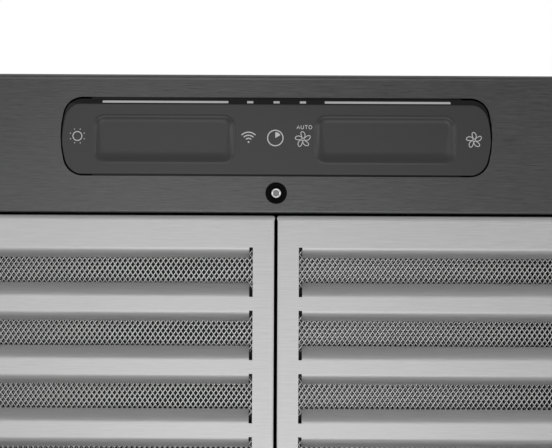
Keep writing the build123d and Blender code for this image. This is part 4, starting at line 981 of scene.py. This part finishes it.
class HOOD_OT_signs(Operator):
    """Print the signs on the touch face"""

    bl_idname = "hood.signs"
    bl_label = "Signs"

    def execute(self, context):
        touch, sign = context.scene.hood_touch, context.scene.hood_sign
        plan = FacePlan(touch)
        parts = []
        for flat, faces in sign_parts(sign, plan.middle, sign.line):
            z = plan.height(flat[:, 0], flat[:, 1]) - sign.raise_by
            parts.append((np.column_stack([flat, z]), faces))
        item = mesh_object("signs", *joined(parts), smooth=False, flip=True)
        ink = moulded_material("sign_ink", context.scene.hood_colour.sign_ink, 0.6, relief=0.0)
        settle(item, "hood", "module_face", material=ink)
        return {"FINISHED"}


class HOOD_OT_sensor(Operator):
    """Build the cooking sensor: a black bush and a metal probe round a small grey window"""

    bl_idname = "hood.sensor"
    bl_label = "Cooking sensor"

    def execute(self, context):
        size = context.scene.hood_sensor
        low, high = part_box("sensor_bush")
        centre = ((low.x + high.x) / 2.0, (low.y + high.y) / 2.0)
        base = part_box("underside_pan")[0].z
        edge = size.bush_round
        outer = quarter(size.bush_radius - edge, -size.bush_stand, edge, edge)
        bevel = (size.bore + size.bore_bevel, 0.0002 - size.bush_stand)
        inner = [(size.bore, size.sleeve), (size.bore, -0.0004), bevel]
        bush = [*inner, *outer, (size.bush_radius, 0.0), (size.sleeve, 0.0004)]
        ring = mesh_object("sensor_ring", *lathe(bush, centre, base))
        settle(ring, "hood", "black_plastic", ["sensor_bush"])
        edge = size.probe_round
        rim = quarter(size.probe_radius - edge, -size.probe_stand, edge, edge)
        cup = [(0.00115, -0.0008), (0.0012, -0.0013), (0.0014, -size.probe_stand)]
        tip = mesh_object("sensor_tip", *lathe([*cup, *rim, (size.probe_radius, 0.009)], centre, base))
        settle(tip, "hood", "bright_steel", ["sensor_probe"])
        dome = np.array([(0.00002, 0.0), (size.window_radius / 2.0, 0.00005), (size.window_radius, 0.0002)])
        window = mesh_object("sensor_window", *lathe(dome - (0.0, size.window_stand), centre, base))
        settle(window, "hood", "grey_plastic")
        return {"FINISHED"}


class HOOD_OT_hem(Operator):
    """Build the hem over the seam at the front edge: a quarter ellipse and a flat, carried along X"""

    bl_idname = "hood.hem"
    bl_label = "Front hem"

    def execute(self, context):
        hem = context.scene.hood_hem
        low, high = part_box("underside_pan")
        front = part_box("canopy_shell")[0].y
        t = np.linspace(0.0, np.pi / 2.0, 9)
        y = hem.inset + hem.reach * (1.0 - np.cos(t))
        z = hem.rise - (hem.rise + hem.stand) * np.sin(t)
        flat = [(hem.flat, -hem.stand), (hem.width, hem.sunk)]
        section = np.concatenate([stacked(y, z), flat]) + (front, low.z)
        points, faces = extruded(section, np.array([low.x, high.x]))
        settle(mesh_object("front_hem", points, faces, flip=True), "hood", "strip_steel")
        return {"FINISHED"}


class HOOD_OT_lamps(Operator):
    """Build both lamps' turned bezels and frosted lenses"""

    bl_idname = "hood.lamps"
    bl_label = "Lamps"

    def execute(self, context):
        size = context.scene.hood_lamp
        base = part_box("underside_pan")[0].z
        low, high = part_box("lamp_bezels")
        radius = (high.y - low.y) / 2.0
        centres = [(x, low.y + radius) for x in (low.x + radius, high.x - radius)]
        glass = size.lens_radius
        crown = quarter(glass + size.bezel_slope, -size.bezel_stand, size.bezel_round, size.bezel_stand, 7)
        bezel = [(glass, 0.0), (glass, -0.0012), (glass + 0.0003, 0.0002 - size.bezel_stand), *crown]
        rings = mesh_object("bezel_rings", *joined([lathe(bezel, centre, base, 96) for centre in centres]))
        settle(rings, "hood", "bright_steel", ["lamp_bezels"])
        hub = 0.0001
        dome = np.linspace(0.0, 1.0, 8)
        face = stacked(hub + (glass - hub) * dome, size.lens_dome * dome**2 - size.lens_stand)
        lens = [*face, (glass, size.lens_stand), (hub, size.lens_stand)]
        discs = mesh_object("lens_discs", *joined([lathe(lens, centre, base, 96) for centre in centres]))
        settle(discs, "hood", "frosted_lens", ["lamp_lenses"])
        return {"FINISHED"}


def join_shaders(tree, share, first, second, out):
    """Mixes two shaders by a share and puts the result out."""
    mix = tree.nodes.new("ShaderNodeMixShader")
    for index, socket in enumerate((share, first, second)):
        tree.links.new(socket, mix.inputs[index])
    tree.links.new(mix.outputs[0], out.inputs["Surface"])


def floor_material(tint):
    """Pale floor that isn't there for rays that come from below it."""
    material, tree, shader = plain_material("floor", tint, 0.9)
    facing = node(tree, "NewGeometry").outputs["Backfacing"]
    clear = node(tree, "BsdfTransparent").outputs[0]
    join_shaders(tree, facing, shader.outputs[0], clear, tree.nodes["Material Output"])
    return material


def make_world(strength):
    """Even grey light that looks white to the camera."""
    world = bpy.data.worlds.new("Studio")
    bpy.context.scene.world = world
    world.use_nodes = True
    tree = world.node_tree
    tree.nodes.clear()
    light = node(tree, "Background", Strength=strength).outputs[0]
    white = node(tree, "Background", Strength=1.0, Color=(1.0, 1.0, 1.0, 1.0)).outputs[0]
    seen = node(tree, "LightPath").outputs["Is Camera Ray"]
    join_shaders(tree, seen, light, white, tree.nodes.new("ShaderNodeOutputWorld"))


def soft_light(name, place, target, stage, power):
    """A rectangular soft light that the camera doesn't see."""
    lamp = bpy.data.lights.new(name, "AREA")
    lamp.shape = "RECTANGLE"
    lamp.size, lamp.size_y = stage.key_aspect * stage.key_size, stage.key_size
    lamp.energy = power
    item = bpy.data.objects.new(name, lamp)
    bpy.context.scene.collection.objects.link(item)
    item.location = place
    course = np.asarray(target, dtype=float) - np.asarray(place, dtype=float)
    yaw = math.atan2(course[1], course[0])
    pitch = math.atan2(math.hypot(course[0], course[1]), -course[2])
    item.rotation_euler = (pitch, 0.0, yaw - math.pi / 2.0)
    item.visible_camera = False


class HOOD_OT_stage(Operator):
    """Set the camera, the floor and the light"""

    bl_idname = "hood.stage"
    bl_label = "Stage"

    def execute(self, context):
        scene = context.scene
        stage = scene.hood_stage
        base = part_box("underside_pan")[0].z
        half = stage.floor_size / 2.0
        corners = [(-half, -half), (half, -half), (half, half), (-half, half)]
        points = [(x, y, stage.floor_z) for x, y in corners]
        floor = mesh_object("floor", points, [[0, 1, 2, 3]], smooth=False)
        floor.data.materials.append(floor_material(scene.hood_colour.floor))
        make_world(stage.world_light)
        target = (0.0, stage.view_y, base)
        lights = {
            "key": (stage.key_x, stage.key_y, stage.key_power),
            "fill": (0.0, stage.fill_y, stage.fill_power),
            "side_left": (-stage.side_x, stage.view_y, stage.side_power),
            "side_right": (stage.side_x, stage.view_y, stage.side_power),
        }
        for name, (x, y, power) in lights.items():
            soft_light(name, (x, y, base - stage.key_drop), target, stage, power)
        data = bpy.data.cameras.new("Camera")
        data.lens = stage.lens
        data.sensor_width = stage.sensor
        data.dof.use_dof = False
        camera = bpy.data.objects.new("Camera", data)
        scene.collection.objects.link(camera)
        distance = stage.lens * stage.view_width / stage.sensor
        camera.location = (0.0, stage.view_y, base - distance)
        camera.rotation_euler = (math.pi, 0.0, stage.roll)
        data.clip_start, data.clip_end = 0.01, 60.0
        scene.camera = camera
        scene.view_settings.view_transform = "Standard"
        return {"FINISHED"}


class HOOD_PT_panel(Panel):
    """Buttons for the hood's pieces"""

    bl_label = "Range hood"
    bl_idname = "HOOD_PT_panel"
    bl_space_type = "VIEW_3D"
    bl_region_type = "UI"
    bl_category = "Range hood"

    def draw(self, context):
        for operator in OPERATORS:
            self.layout.operator(operator.bl_idname)
        for name in SETTINGS:
            box = self.layout.box()
            group = getattr(context.scene, name)
            for key in group.bl_rna.properties.keys():
                if key not in ("rna_type", "name"):
                    box.prop(group, key)


SETTINGS = {
    "hood_filter": HoodFilterSettings,
    "hood_mesh": HoodMeshSettings,
    "hood_touch": HoodTouchSettings,
    "hood_sign": HoodSignSettings,
    "hood_sensor": HoodSensorSettings,
    "hood_hem": HoodHemSettings,
    "hood_lamp": HoodLampSettings,
    "hood_colour": HoodColourSettings,
    "hood_stage": HoodStageSettings,
}
OPERATORS = (
    HOOD_OT_finishes,
    HOOD_OT_filter_trays,
    HOOD_OT_filter_mesh,
    HOOD_OT_touch_face,
    HOOD_OT_signs,
    HOOD_OT_sensor,
    HOOD_OT_hem,
    HOOD_OT_lamps,
    HOOD_OT_stage,
)


def register():
    for kind in (*SETTINGS.values(), *OPERATORS, HOOD_PT_panel):
        bpy.utils.register_class(kind)
    for name, kind in SETTINGS.items():
        setattr(bpy.types.Scene, name, PointerProperty(type=kind))


def unregister():
    for name in SETTINGS:
        delattr(bpy.types.Scene, name)
    for kind in (HOOD_PT_panel, *reversed(OPERATORS), *SETTINGS.values()):
        bpy.utils.unregister_class(kind)


def main():
    """Builds every piece in order."""
    register()
    for operator in OPERATORS:
        getattr(bpy.ops.hood, operator.bl_idname.split(".")[1])()


if __name__ == "__main__":
    main()
